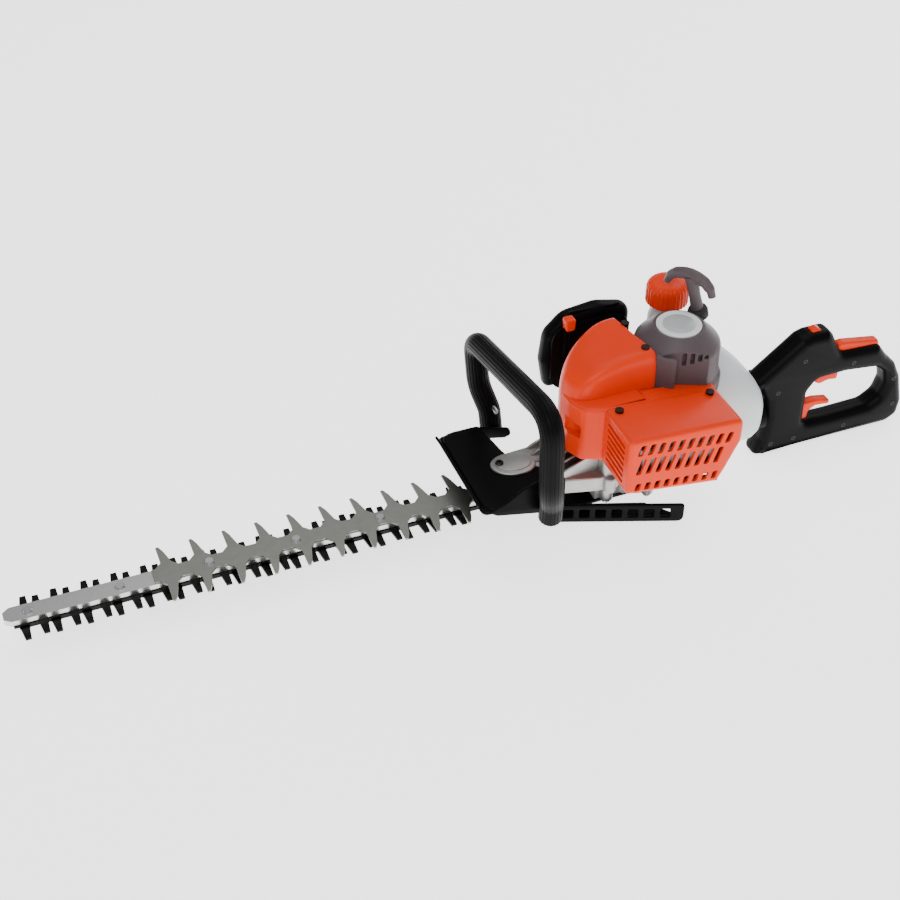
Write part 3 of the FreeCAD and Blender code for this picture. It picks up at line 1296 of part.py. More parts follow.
# --- checks and writing ------------------------------------------------------------------
doc.recompute()
for thing in doc.Objects:
    if "Invalid" in thing.State or "Error" in thing.State:
        raise RuntimeError(f"{thing.Name} ({thing.Label}) failed: {thing.State}")
for thing in nodes:
    if thing.Shape.isNull() or not thing.Shape.isValid():
        raise RuntimeError(thing.Label + " has no valid shape")
for thing in nodes:
    thing.Shape.exportStep(f"parts/{thing.Label}.step")
    box = thing.Shape.BoundBox
    print(f"{thing.Label:20s} {len(thing.Shape.Solids)} solids {thing.Shape.Volume / 1000:8.1f} cm3"
          f"  x {box.XMin:7.1f} {box.XMax:7.1f}  y {box.YMin:7.1f} {box.YMax:7.1f}  z {box.ZMin:6.1f} {box.ZMax:6.1f}")
print(len(nodes), "nodes")
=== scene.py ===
import json
import math

import bmesh
import bpy
from mathutils import Matrix, Vector


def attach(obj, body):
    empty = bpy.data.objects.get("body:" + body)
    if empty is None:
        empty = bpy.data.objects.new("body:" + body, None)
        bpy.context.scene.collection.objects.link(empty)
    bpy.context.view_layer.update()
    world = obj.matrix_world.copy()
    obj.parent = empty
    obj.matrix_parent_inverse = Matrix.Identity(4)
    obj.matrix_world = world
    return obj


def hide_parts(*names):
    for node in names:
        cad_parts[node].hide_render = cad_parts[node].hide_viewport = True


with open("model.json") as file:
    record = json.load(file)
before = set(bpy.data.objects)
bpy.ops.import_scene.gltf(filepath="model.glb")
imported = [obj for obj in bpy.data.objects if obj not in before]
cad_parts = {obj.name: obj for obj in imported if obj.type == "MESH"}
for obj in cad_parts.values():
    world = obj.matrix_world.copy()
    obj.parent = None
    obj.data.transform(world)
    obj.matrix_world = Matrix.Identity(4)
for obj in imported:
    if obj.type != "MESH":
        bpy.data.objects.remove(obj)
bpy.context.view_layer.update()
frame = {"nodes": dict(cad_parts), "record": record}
MM = 0.001


# --- Studio ---------------------------------------------------------------------------------
# A plain pale floor and soft, wide lights. The camera looks down on the tool's left side
# from ahead of the engine, with a moderately long lens.
CAMERA_AT = (-489.6 * MM, -1134.2 * MM, 1122.2 * MM)
CAMERA_ELEVATION = 39.635
CAMERA_AZIMUTH = -21.356
CAMERA_LENS = 60.97


def hex_colour(text):
    """An sRGB hex colour as linear red, green, blue and alpha."""
    channels = [int(text[i:i + 2], 16) / 255 for i in (0, 2, 4)]
    return tuple(c / 12.92 if c <= 0.04045 else ((c + 0.055) / 1.055) ** 2.4 for c in channels) + (1.0,)


def add_node(tree, kind, settings=None, links=None):
    """A shader or geometry node with its settings, socket values and incoming links."""
    node = tree.nodes.new(kind)
    for name, value in (settings or {}).items():
        if name in node.inputs:
            node.inputs[name].default_value = value
        else:
            setattr(node, name, value)
    for name, source in (links or {}).items():
        tree.links.new(source, node.inputs[name])
    return node


def blank_material(name):
    """An empty node material: its tree and its Principled shader, already wired to the output."""
    material = bpy.data.materials.new(name)
    material.use_nodes = True
    tree = material.node_tree
    tree.nodes.clear()
    shader = add_node(tree, "ShaderNodeBsdfPrincipled")
    add_node(tree, "ShaderNodeOutputMaterial", links={"Surface": shader.outputs["BSDF"]})
    return material, tree, shader


def link_object(name, mesh):
    """A new object in the scene for a mesh."""
    thing = bpy.data.objects.new(name, mesh)
    bpy.context.scene.collection.objects.link(thing)
    return thing


camera = bpy.data.objects.new("camera", bpy.data.cameras.new("camera"))
camera.data.lens = CAMERA_LENS
camera.location = CAMERA_AT
camera.rotation_euler = (math.radians(90 - CAMERA_ELEVATION), 0, math.radians(CAMERA_AZIMUTH))
bpy.context.scene.collection.objects.link(camera)
bpy.context.scene.camera = camera


def soft_light(name, place, aim, size, power):
    """A square area light turned towards a point."""
    data = bpy.data.lights.new(name, "AREA")
    data.size = size
    data.energy = power
    lamp = bpy.data.objects.new(name, data)
    lamp.location = place
    lamp.rotation_euler = (Vector(aim) - Vector(place)).to_track_quat("-Z", "Y").to_euler()
    bpy.context.scene.collection.objects.link(lamp)


ENGINE_MIDDLE = (0.05, 0, 0.1)
STARTER_SIDE = (0.15, 0, 0.1)
soft_light("key_light", (-0.9, -1.6, 2.2), ENGINE_MIDDLE, 1.6, 34)
soft_light("top_light", (0.3, 0.5, 2.4), ENGINE_MIDDLE, 2.2, 24)
soft_light("rim_light", (1.8, 1.0, 1.3), STARTER_SIDE, 1.2, 12)
world = bpy.data.worlds.new("studio")
bpy.context.scene.world = world
world.use_nodes = True
world.node_tree.nodes["Background"].inputs["Color"].default_value = hex_colour("F4F6F8")
world.node_tree.nodes["Background"].inputs["Strength"].default_value = 0.42

FLOOR_REACH = 6
floor_mesh = bpy.data.meshes.new("studio_floor")
floor_mesh.from_pydata([(-FLOOR_REACH, -FLOOR_REACH, 0), (FLOOR_REACH, -FLOOR_REACH, 0),
                        (FLOOR_REACH, FLOOR_REACH, 0), (-FLOOR_REACH, FLOOR_REACH, 0)], [], [(0, 1, 2, 3)])
floor = link_object("studio_floor", floor_mesh)
floor_paint, tree, shader = blank_material("matt_white_floor_paint")
shader.inputs["Base Color"].default_value = hex_colour("F3F3F2")
shader.inputs["Emission Color"].default_value = hex_colour("FFFFFF")
shader.inputs["Emission Strength"].default_value = 2.0
shader.inputs["Roughness"].default_value = 0.9
floor_mesh.materials.append(floor_paint)


# --- Blades and guide bar -------------------------------------------------------------------
# Two blackened toothed blades slide on a ground steel bar under a pale plate with long spikes.
# Bolts and nuts clamp them with just enough play to slide. All keep the CAD model's shapes.
def textured(name, base, other, low, high, grain_mm, depth_mm, strength, blotch_mm, metal=0.0, ior=None,
    shine=0.5):
    """A real surface: broad colour and gloss changes, and a fine grain of a given size as bump."""
    material, tree, shader = blank_material(name)
    place = add_node(tree, "ShaderNodeTexCoord").outputs["Object"]
    cloud = add_node(tree, "ShaderNodeTexNoise", {"Scale": 1 / (blotch_mm * MM), "Detail": 5.0,
        "Roughness": 0.6},
                     {"Vector": place})
    blend = add_node(tree, "ShaderNodeMix", {"data_type": "RGBA"}, {"Factor": cloud.outputs["Fac"]})
    blend.inputs["A"].default_value = hex_colour(base)
    blend.inputs["B"].default_value = hex_colour(other)
    gloss = add_node(tree, "ShaderNodeMapRange", {"To Min": low, "To Max": high},
        {"Value": cloud.outputs["Fac"]})
    noise = add_node(tree, "ShaderNodeTexNoise", {"Scale": 1 / (grain_mm * MM), "Detail": 3.0},
        {"Vector": place})
    bump = add_node(tree, "ShaderNodeBump", {"Strength": strength, "Distance": depth_mm * MM},
                    {"Height": noise.outputs["Fac"]})
    tree.links.new(blend.outputs["Result"], shader.inputs["Base Color"])
    tree.links.new(gloss.outputs["Result"], shader.inputs["Roughness"])
    tree.links.new(bump.outputs["Normal"], shader.inputs["Normal"])
    shader.inputs["Metallic"].default_value = metal
    if ior:
        shader.inputs["IOR"].default_value = ior
        shader.inputs["Specular IOR Level"].default_value = shine
    return material


slot_of = {part["node"]: part["material_slot"] for part in frame["record"]["subparts"]}


def dress(finish, *names):
    """Give a finish to CAD nodes, each named by itself or by its material slot."""
    for name, node in frame["nodes"].items():
        if name in names or slot_of[name] in names:
            node.data.materials.clear()
            node.data.materials.append(finish)


# Surface-ground bar: bright, with a soft broken gleam along it.
ground_steel = textured("ground_bar_steel", "DADAD8", "C4C4C2", 0.2, 0.4, 0.4, 0.02, 0.35, 16, metal=1.0)
# Rolled plate with a satin finish: duller and a little warmer than the bar.
plate_alloy = textured("satin_aluminium_plate", "9C9C96", "86867F", 0.3, 0.5, 0.7, 0.03, 0.4, 12, metal=1.0)
# Oil-blackened tool steel: nearly black, with a low metallic sheen.
black_steel = textured("blackened_blade_steel", "2B2B2A", "1A1A1A", 0.28, 0.46, 0.7, 0.04, 0.4, 10, metal=1.0)
# Zinc plating: light, cold and fairly glossy.
zinc_steel = textured("zinc_plated_steel", "CFD1D2", "BEC1C2", 0.2, 0.34, 0.6, 0.02, 0.3, 6, metal=1.0)
dress(ground_steel, "bar_steel")
dress(plate_alloy, "plate_alloy")
dress(black_steel, "blade_steel")
dress(zinc_steel, "zinc_steel")


# --- Engine castings and running gear -------------------------------------------------------
# The die-cast crankcase, the finned cylinder, and the parts that turn and slide inside them.
# They are bolted together round the crankshaft and keep the CAD model's shapes.
# Die casting: matt grey with a fine orange-peel grain.
cast_alloy = textured("die_cast_aluminium", "B4B4B1", "9A9A97", 0.34, 0.52, 1.1, 0.09, 0.5, 14, metal=1.0)
# Turned and ground steel with a film of oil: darker and evenly glossy.
machined_steel = textured("oiled_machined_steel", "77787A", "606163", 0.26, 0.42, 0.6, 0.03, 0.4, 9,
    metal=1.0)
# Moulded rubber: deep black without shine.
soft_rubber = textured("black_rubber", "111113", "1A1A1C", 0.6, 0.78, 0.5, 0.05, 0.5, 12, ior=1.5)
dress(cast_alloy, "cast_alloy", "flywheel_alloy")
dress(machined_steel, "machined_steel")
dress(soft_rubber, "rubber")


# --- Blade guard ----------------------------------------------------------------------------
# A black nylon hood across the nose with a lip that leans forward and a cheek at each side.
# It is moulded in one piece with rounded rims, and the handle's feet bolt to the cheeks.
def round_corners(points, radius, closed=True, steps=4):
    """A line or outline with its corners rounded; a corner may be given as (point, radius)."""
    given = [p if isinstance(p[-1], (int, float)) else p[0] for p in points]
    sizes = [radius if isinstance(p[-1], (int, float)) else p[1][0] for p in points]
    spots = [Vector(p) for p in given]
    result = []
    for i, here in enumerate(spots):
        if not closed and i in (0, len(spots) - 1):
            result.append(here)
            continue
        before = spots[i - 1] - here
        after = spots[(i + 1) % len(spots)] - here
        angle = before.angle(after)
        if sizes[i] <= 0 or angle > math.radians(177):
            result.append(here)
            continue
        reach = min(sizes[i] / math.tan(angle / 2), before.length * 0.49, after.length * 0.49)
        start = here + before.normalized() * reach
        end = here + after.normalized() * reach
        for step in range(steps + 1):
            t = step / steps
            result.append(start * (1 - t) ** 2 + here * (2 * t * (1 - t)) + end * t ** 2)
    return result


def as_mesh(thing):
    """The evaluated shape of an object as a plain mesh; the object itself is removed."""
    shape = thing.evaluated_get(bpy.context.evaluated_depsgraph_get())
    mesh = bpy.data.meshes.new_from_object(shape)
    bpy.data.objects.remove(thing)
    return mesh


def plate(loops, thickness, edge, place, sides=2):
    """A piece of one thickness with rounded rims: its outline and holes in mm, laid by a matrix."""
    curve = bpy.data.curves.new("outline", "CURVE")
    curve.dimensions = "2D"
    curve.fill_mode = "BOTH"
    curve.extrude = max(thickness / 2 - edge, 0.0) * MM
    curve.bevel_depth = edge * MM
    curve.bevel_resolution = sides
    curve.offset = -edge * MM
    for loop in loops:
        spline = curve.splines.new("POLY")
        spline.points.add(len(loop) - 1)
        for point, spot in zip(spline.points, loop):
            point.co = (spot[0] * MM, spot[1] * MM, 0, 1)
        spline.use_cyclic_u = True
    mesh = as_mesh(link_object("outline", curve))
    mesh.transform(place)
    return mesh


def lying(z):
    """A matrix that lays a plate flat at a height: across is +X and up the page is +Y."""
    return Matrix.Translation((0, 0, z * MM))


def standing(y):
    """A matrix that stands a plate up lengthwise: across is +X and up the page is +Z."""
    return Matrix.Translation((0, y * MM, 0)) @ Matrix.Rotation(math.radians(90), 4, "X")


def facing(x):
    """A matrix that stands a plate up crosswise: across is +Y and up the page is +Z."""
    turn = Matrix(((0, 0, 1, 0), (1, 0, 0, 0), (0, 1, 0, 0), (0, 0, 0, 1)))
    return Matrix.Translation((x * MM, 0, 0)) @ turn


body_of = {node: body for body, nodes in frame["record"]["behaviour"]["bodies"].items() for node in nodes}


def piece(name, meshes, finish, *nodes, rides=None, sharp=38):
    """One finished object from its meshes, on its body, standing for the CAD nodes it replaces."""
    skin = bmesh.new()
    for mesh in meshes:
        skin.from_mesh(mesh)
        bpy.data.meshes.remove(mesh)
    bmesh.ops.remove_doubles(skin, verts=skin.verts, dist=1e-6)
    bmesh.ops.dissolve_degenerate(skin, edges=skin.edges, dist=1e-6)
    bmesh.ops.recalc_face_normals(skin, faces=skin.faces)
    mesh = bpy.data.meshes.new(name)
    skin.to_mesh(mesh)
    skin.free()
    mesh.materials.append(finish)
    for face in mesh.polygons:
        face.use_smooth = True
    mesh.set_sharp_from_angle(angle=math.radians(sharp))
    thing = link_object(name, mesh)
    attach(thing, body_of[nodes[0]] if nodes else rides)
    if nodes:
        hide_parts(*nodes)
    return thing


def mirrored(points):
    """An outline reflected left to right across the machine's middle."""
    return [(x, -y) for x, y in points][::-1]


# Glass-filled nylon: black with a faint grain, and only a weak highlight.
black_nylon = textured("black_glass_filled_nylon", "060607", "0B0B0D", 0.3, 0.46, 0.55, 0.05, 0.45, 35,
    ior=1.46,
                       shine=0.07)
dress(black_nylon, "black_plastic", "swivel_flange")
GUARD_HALF = 68
hood = round_corners([((-33, -GUARD_HALF), (17,)), ((-33, GUARD_HALF), (17,)), ((14, GUARD_HALF), (6,)),
                      ((21, 20), (30,)), ((26, 0), (20,)), ((50, -22), (10,)), ((56, -36), (8,)),
                      ((56, -GUARD_HALF), (3,))], 3)
hood_rim = round_corners([((-36, -GUARD_HALF + 1), (20,)), ((-36, GUARD_HALF - 1), (20,)),
                          ((-18, GUARD_HALF - 1), (2,)), ((-18, -GUARD_HALF + 1), (2,))], 3)
lip = round_corners([(-GUARD_HALF + 14, 0), (GUARD_HALF - 14, 0), (GUARD_HALF - 4, 14), (GUARD_HALF - 22, 9),
                     (-GUARD_HALF + 22, 9), (-GUARD_HALF + 10, 7)], 3)
lip_place = Matrix.Translation((-32 * MM, 0, 74 * MM)) @ Matrix.Rotation(math.radians(-38), 4,
    "Y") @ facing(0)
cheek = round_corners([((-30, 76), (10,)), ((-20, 69), (6,)), ((44, 54), (4,)), ((56, 56), (4,)),
                       ((56, 100), (8,)), ((34, 103), (6,)), ((8, 96), (10,)), ((-12, 82), (12,))], 4)
far_cheek = round_corners([((-30, 76), (6,)), ((-20, 69), (6,)), ((44, 54), (4,)), ((52, 56), (4,)),
    ((50, 66), (6,)),
                           ((12, 77), (8,))], 4)
cheeks = [plate([cheek], 4, 1.6, standing(-GUARD_HALF + 2), 3),
    plate([far_cheek], 4, 1.6, standing(GUARD_HALF - 2), 3)]
ribs = [plate([round_corners([(-26, 60), (14, 60), (14, 75), (-28, 75)], 3)], 2.5, 0.8, standing(y))
        for y in (-40, 40)]
piece("blade_guard", [plate([hood], 6, 2.6, lying(76), 3), plate([hood_rim], 5, 2.2, lying(74.5), 3),
                      plate([lip], 3, 1.2, lip_place, 3)] + cheeks + ribs, black_nylon, "front_guard")


# --- Gear case ------------------------------------------------------------------------------
# A die-cast aluminium case: a low ribbed neck under the guard and a deep box under the engine.
# It is cast in one piece, and its oval nose cover shows through the hood.
def loft(rings, near_cap=True, far_cap=True):
    """A skin through rings of points in mm, each ring with the same count."""
    skin = bmesh.new()
    rows = [[skin.verts.new(Vector(spot) * MM) for spot in ring] for ring in rings]
    for low, high in zip(rows, rows[1:]):
        for i, corner in enumerate(low):
            j = (i + 1) % len(low)
            skin.faces.new((corner, low[j], high[j], high[i]))
    if near_cap:
        skin.faces.new(rows[0][::-1])
    if far_cap:
        skin.faces.new(rows[-1])
    mesh = bpy.data.meshes.new("loft")
    skin.to_mesh(mesh)
    skin.free()
    return mesh


def turned(profile, place, count=96, ribs=0, depth=0.0):
    """A shape of revolution from (radius, height) pairs in mm, with ribs round it if asked."""
    rings = []
    for radius, height in profile:
        ring = []
        for i in range(count):
            turn = 2 * math.pi * i / count
            here = radius + (depth * math.cos(ribs * turn) if ribs else 0.0)
            ring.append((here * math.cos(turn), here * math.sin(turn), height))
        rings.append(ring)
    mesh = loft(rings)
    mesh.transform(place)
    return mesh


def at(x, y, z):
    """A matrix that moves a shape to a place in mm."""
    return Matrix.Translation((x * MM, y * MM, z * MM))


def oval(x, y, length, width, yaw=0.0, count=48):
    """An oval outline turned by an angle in degrees."""
    middle = Vector((x, y))
    turn = Matrix.Rotation(math.radians(yaw), 2)
    ring = []
    for i in range(count):
        angle = 2 * math.pi * i / count
        ring.append(middle + turn @ Vector((length / 2 * math.cos(angle), width / 2 * math.sin(angle))))
    return ring


# Black oxide on screw steel: dark grey with small sharp highlights.
black_screw = textured("black_oxide_screw_steel", "3A3A3B", "2C2C2D", 0.3, 0.45, 0.5, 0.02, 0.3, 5, metal=1.0)
dress(black_screw, "cover_screws", "starter_screws")
neck_plan = round_corners([((4, -30), (20,)), ((4, 30), (20,)), ((70, 34), (10,)), ((108, 44), (8,)),
    ((250, 44), (16,)),
                           ((250, -44), (16,)), ((108, -44), (8,)), ((70, -34), (10,))], 5)
box_plan = round_corners([((112, -46), (12,)), ((112, 46), (12,)), ((252, 46), (30,)), ((252, -46), (30,))],
    5, steps=6)
case_ribs = [plate([round_corners([(52, 60), (112, 60), (112, 84), (100, 84), (60, 66)], 2)], 3, 0.8,
    standing(y))
             for y in (-30, -18, -6, 6, 18, 30)]
side_ribs = [plate([round_corners([(x, 46), (x + 3, 46), (x + 3, 84), (x, 84)], 1)], 96, 0.8, standing(0))
             for x in (126, 146, 186, 206, 226)]
lugs = [turned([(6.5, 44), (6.5, 60), (5.5, 61.5), (2, 61.5)], at(x, y, 0), 32)
        for x in (120, 170, 236) for y in (-46, 46)]
piece("gear_case", [plate([neck_plan], 19, 2, lying(52.5), 3), plate([box_plan], 40, 3, lying(67), 3)]
      + case_ribs + side_ribs + lugs, cast_alloy, "gear_case", sharp=35)
piece("nose_cover", [plate([oval(22, -9, 49, 36, -12)], 4, 1.6, lying(80), 3),
                     plate([oval(22, -9, 38, 25, -12)], 2, 0.8, lying(82), 3)], cast_alloy, rides="frame")
piece("nose_screw", [turned([(4.5, 80), (4.5, 84), (3.6, 85), (2, 85), (1.6, 83.5)], at(8, -5, 0), 32)],
      black_screw, rides="frame")


# --- Front handle ---------------------------------------------------------------------------
# A bent black grip tube that loops over the machine and turns in at its feet.
# Its nylon cover is moulded on with fine flutes that run along it.
def sweep(path, section, scale=lambda share: 1.0):
    """A cross-section in mm carried along a line, turning only as the line turns."""
    spots = [Vector(spot) for spot in path]
    ahead = [(b - a).normalized() for a, b in zip(spots, spots[1:])]
    ahead = [ahead[0]] + [(a + b).normalized() for a, b in zip(ahead, ahead[1:])] + [ahead[-1]]
    side = ahead[0].orthogonal().normalized()
    rings = []
    for i, (spot, way) in enumerate(zip(spots, ahead)):
        side = (side - way * side.dot(way)).normalized()
        other = way.cross(side)
        size = scale(i / (len(spots) - 1))
        rings.append([spot + (side * u + other * v) * size for u, v in section])
    return loft(rings)


def circle(radius, count=48, flutes=0, depth=0.0):
    """A round cross-section, with shallow flutes if asked."""
    ring = []
    for i in range(count):
        turn = 2 * math.pi * i / count
        here = radius - depth * max(0.0, math.cos(flutes * turn)) ** 4
        ring.append((here * math.cos(turn), here * math.sin(turn)))
    return ring


TUBE = 12.5
loop_line = [(34, -80, 61), ((33, -84, 84), (30,)), ((25, -97, 112), (60,)), ((23, -97, 207), (30,)),
             ((20, 97, 172), (22,)), ((25, 97, 112), (60,)), ((33, 84, 84), (30,)), (34, 80, 61)]
piece("front_handle", [sweep(round_corners(loop_line, 20, closed=False, steps=12),
                             circle(TUBE, 120, 20, 0.55))], black_nylon, "front_handle", sharp=60)


# --- Muffler cover --------------------------------------------------------------------------
# An orange moulded box over the silencer: a sloping deck, a louvred front and a three-row grille.
# The slots are open, so the bright silencer and the dark room behind show through them.
def cut(mesh, tools):
    """A mesh with other meshes taken out of it."""
    thing = link_object("cut", mesh)
    cutters = []
    for tool in tools:
        cutter = link_object("cutter", tool)
        change = thing.modifiers.new("cut", "BOOLEAN")
        change.operation = "DIFFERENCE"
        change.solver = "EXACT"
        change.object = cutter
        cutters.append(cutter)
    result = as_mesh(thing)
    for cutter in cutters:
        bpy.data.objects.remove(cutter)
    return result


def cover_side(inset):
    """The cover seen from the left, drawn in by inset."""
    return round_corners([
        ((104 + inset, 92 + inset), (6,)), ((212 - inset, 77 + inset), (8,)), ((219 - inset, 90), (12,)),
        ((235 - inset, 126), (14,)), ((235 - inset, 154 - inset), (9,)),
            ((104 + inset, 162 - inset), (7,))], 6)


# Moulded ABS: strong orange, smooth, with a soft gloss.
orange_abs = textured("orange_abs", "F03600", "E63000", 0.24, 0.34, 0.9, 0.03, 0.3, 50, ior=1.42, shine=0.2)
dress(orange_abs, "orange_plastic")
COVER_FRONT = 104
COVER_WALL = 2.8
SLOT_WIDTH = 6.4
SLOT_PITCH = 11.2
ROW_FALL = 0.115
LOUVRE_PITCH = 7.4
slots = []
for low, high, count, lean_step in ((141.5, 154.5, 10, 4.5), (117, 136.5, 9, 6.0), (95.5, 105, 9, 2.5)):
    for column in range(count):
        x = 112.5 + SLOT_PITCH * column
        fall = ROW_FALL * (x - COVER_FRONT)
        slots.append(round_corners([(x, low - fall), (x + SLOT_WIDTH, low - fall),
                                    (x + SLOT_WIDTH + lean_step, high - fall),
                                        (x + lean_step, high - fall)], 2.2))
louvres = []
for row in range(7):
    z = 101 + LOUVRE_PITCH * row
    louvres.append(round_corners([(-99, z - 1), (-60, z + 2), (-60, z + 6), (-99, z + 3)], 1.5))
cover = cut(plate([cover_side(0)], 61, 5, standing(-79.5), 4), [
    plate([cover_side(COVER_WALL)], 62, 3, standing(-76.2), 2),
    plate(slots, 14, 0.01, standing(-108), 0), plate(louvres, 14, 0.01, facing(COVER_FRONT), 0),
    plate([[(112, 60), (208, 60), (208, 100), (112, 100)]], 42, 0.01, standing(-77), 0)])
deck_shelf = plate([round_corners([(150, -52), (234, -52), (234, -24), (222, -20), (178, -31), (150, -30)],
    3)], 3, 1.2,
                   Matrix.Translation((0, 0, 165 * MM)) @ Matrix.Rotation(math.radians(3.0), 4, "Y")
                   @ Matrix.Translation((0, 0, -1.5 * MM)), 3)
rim = sweep(round_corners([(107, -107.5, 94), (212, -107.5, 79.5)], 3, closed=False), circle(1.6, 16))
piece("muffler_cover", [cover, deck_shelf, rim], orange_abs, "muffler_cover", sharp=32)


# --- Engine cover ---------------------------------------------------------------------------
# The orange shell over the cylinder: a low shelf at the silencer's side and a rounded lobe above.
# It is one thin moulding, open underneath, clipped between the muffler cover and the starter.
def smooth_ring(corners, count=96):
    """A closed smooth curve through its corners, resampled to evenly spaced points."""
    spots = [Vector(corner) for corner in corners]
    total = len(spots)
    fine = []
    for i in range(total):
        a, b, c, d = spots[i - 1], spots[i], spots[(i + 1) % total], spots[(i + 2) % total]
        for step in range(12):
            t = step / 12
            fine.append(0.5 * (2 * b + (c - a) * t + (2 * a - 5 * b + 4 * c - d) * t ** 2
                               + (3 * b - a - 3 * c + d) * t ** 3))
    lengths = [0.0]
    for a, b in zip(fine, fine[1:] + fine[:1]):
        lengths.append(lengths[-1] + (b - a).length)
    ring = []
    mark = 0
    for i in range(count):
        goal = lengths[-1] * i / count
        while lengths[mark + 1] < goal:
            mark += 1
        share = (goal - lengths[mark]) / max(lengths[mark + 1] - lengths[mark], 1e-9)
        ring.append(fine[mark].lerp(fine[(mark + 1) % len(fine)], share))
    return ring


lobe_plan = smooth_ring([
    (160, -28), (140, -28.5), (118, -28.5), (97, -28), (84, -22), (78, -8), (79, 6), (86, 20), (98, 32.5),
        (114, 43),
    (136, 53), (156, 56), (160, 53), (167, 12), (174, -22), (172, -28)])
LOBE_ROOT = Vector((160, 8))
LOBE_FOOT = 92
LOBE_REACH = 60


def crown(x):
    """Height of the lobe's top at a station: steep at the front, then nearly level."""
    share = min(max((x - 72) / 80, 0.0), 1.0)
    return 168 + 30 * math.sin(share * math.pi / 2) ** 0.8


def lobe(step_in):
    """The rings of the lobe from its foot to its crown, drawn in by a wall's thickness."""
    rings = []
    for share, size in ((0.0, 1.0), (0.35, 1.0), (0.66, 1.0), (0.8, 0.99), (0.88, 0.97), (0.935, 0.94),
                        (0.97, 0.895), (0.988, 0.84), (0.997, 0.76), (1.0, 0.6), (1.0, 0.3)):
        ring = []
        for spot in lobe_plan:
            way = spot - LOBE_ROOT
            flat = LOBE_ROOT + way * (size - step_in / LOBE_REACH)
            ring.append((flat.x, flat.y, LOBE_FOOT + (crown(flat.x) - step_in - LOBE_FOOT) * share))
        rings.append(ring)
    return rings


def shell(outer_rings, inner_rings):
    """A closed wall between an outer and an inner skin that are both open at the foot."""
    return loft(inner_rings[::-1] + outer_rings)


shelf_plan = round_corners([((156, -50), (2,)), ((108, -50), (6,)), ((85, -40), (12,)), ((77.5, -22), (14,)),
                            ((77.5, 0), (14,)), ((92, 12), (10,)), ((156, 12), (2,))], 4)
shelf = plate([shelf_plan], 68, 4, lying(124), 4)
engine_room = plate([round_corners([(157, -47), (108, -47), (88, -38), (80.5, -21), (80.5, 0), (94, 9),
    (157, 9)], 6)], 66, 2,
             lying(120), 1)
front_slot = plate([round_corners([(-38, 118), (-14, 118), (-14, 138), (-38, 134)], 3)], 30, 0.01,
    facing(78), 0)
piece("engine_cover", [cut(shelf, [engine_room, front_slot]), shell(lobe(0), lobe(2.6))], orange_abs,
    "engine_cover", sharp=40)


# --- Starter housing ------------------------------------------------------------------------
# A warm grey bell over the recoil starter with a flat vented face at the front left and an apron.
# The badge is a blank printed disc pressed into its rim.
# Nylon in a warm grey: finely textured, with a wide dull highlight.
grey_nylon = textured("warm_grey_nylon", "5E5356", "50474A", 0.34, 0.48, 0.6, 0.05, 0.4, 40, ior=1.45,
    shine=0.2)
# Printed plastic film: smooth and bright, in white and in light grey.
white_print = textured("white_printed_film", "EDEDED", "E2E2E2", 0.25, 0.34, 0.8, 0.01, 0.2, 12, ior=1.45)
grey_print = textured("light_grey_printed_film", "B9BCBE", "AFB2B4", 0.25, 0.34, 0.8, 0.01, 0.2, 12, ior=1.45)
dress(grey_nylon, "grey_plastic")
dress(white_print, "badge")
CRANK_X = 211
FACET_TURN = 250.4
FACET_OUT = 36
facet_place = Matrix.Translation((CRANK_X * MM, 0, 0)) @ Matrix.Rotation(math.radians(FACET_TURN), 4, "Z")
bell = turned([(49.5, 128), (49.5, 148), (48, 151), (46.5, 153), (46, 156), (46, 185), (45.2, 188), (43, 191),
               (31, 202.5), (29, 204.6), (27.5, 206), (25, 206.4), (24.2, 205), (20, 205)],
                   at(CRANK_X, 0, 0), 128)
facet_tool = plate([[(-90, 153), (90, 153), (90, 230), (-90, 230)]], 60, 0.01,
                   facet_place @ facing(FACET_OUT + 30), 0)
vents = [[(u, low), (u + 4.6, low), (u + 4.6, high), (u, high)] for u, low, high in
         ((0, 179, 195), (8.5, 181, 194.5), (16.5, 184, 193), (23, 187, 191))]
vent_tool = plate([round_corners(vent, 1.4) for vent in vents], 12, 0.01, facet_place @ facing(FACET_OUT), 0)
apron = plate([round_corners([((173, -26), (5,)), ((186, -38), (10,)), ((211, -42), (3,)), ((211, 46), (3,)),
                              ((176, 46), (14,)), ((159, 44), (8,))], 6)], 52, 9, at(0, 0, 172), 5)
piece("starter_housing", [cut(cut(bell, [facet_tool]), [vent_tool]),
                          cut(apron, [plate([circle(44, 64)], 80, 0.01, at(CRANK_X, 0, 180), 0)])],
      grey_nylon, "starter_housing", sharp=30)
piece("starter_badge_ring", [turned([(24, 205.4), (24, 207.2), (23, 208.2), (18.6, 208.2), (18, 207.6),
    (17, 207.2)],
                                    at(CRANK_X, 0, 0))], white_print, "starter_badge")
piece("starter_badge_disc", [turned([(17.5, 206.8), (17.2, 207.7), (16.4, 208.2), (6, 208.2)],
    at(CRANK_X, 0, 0))],
      grey_print, rides="frame")


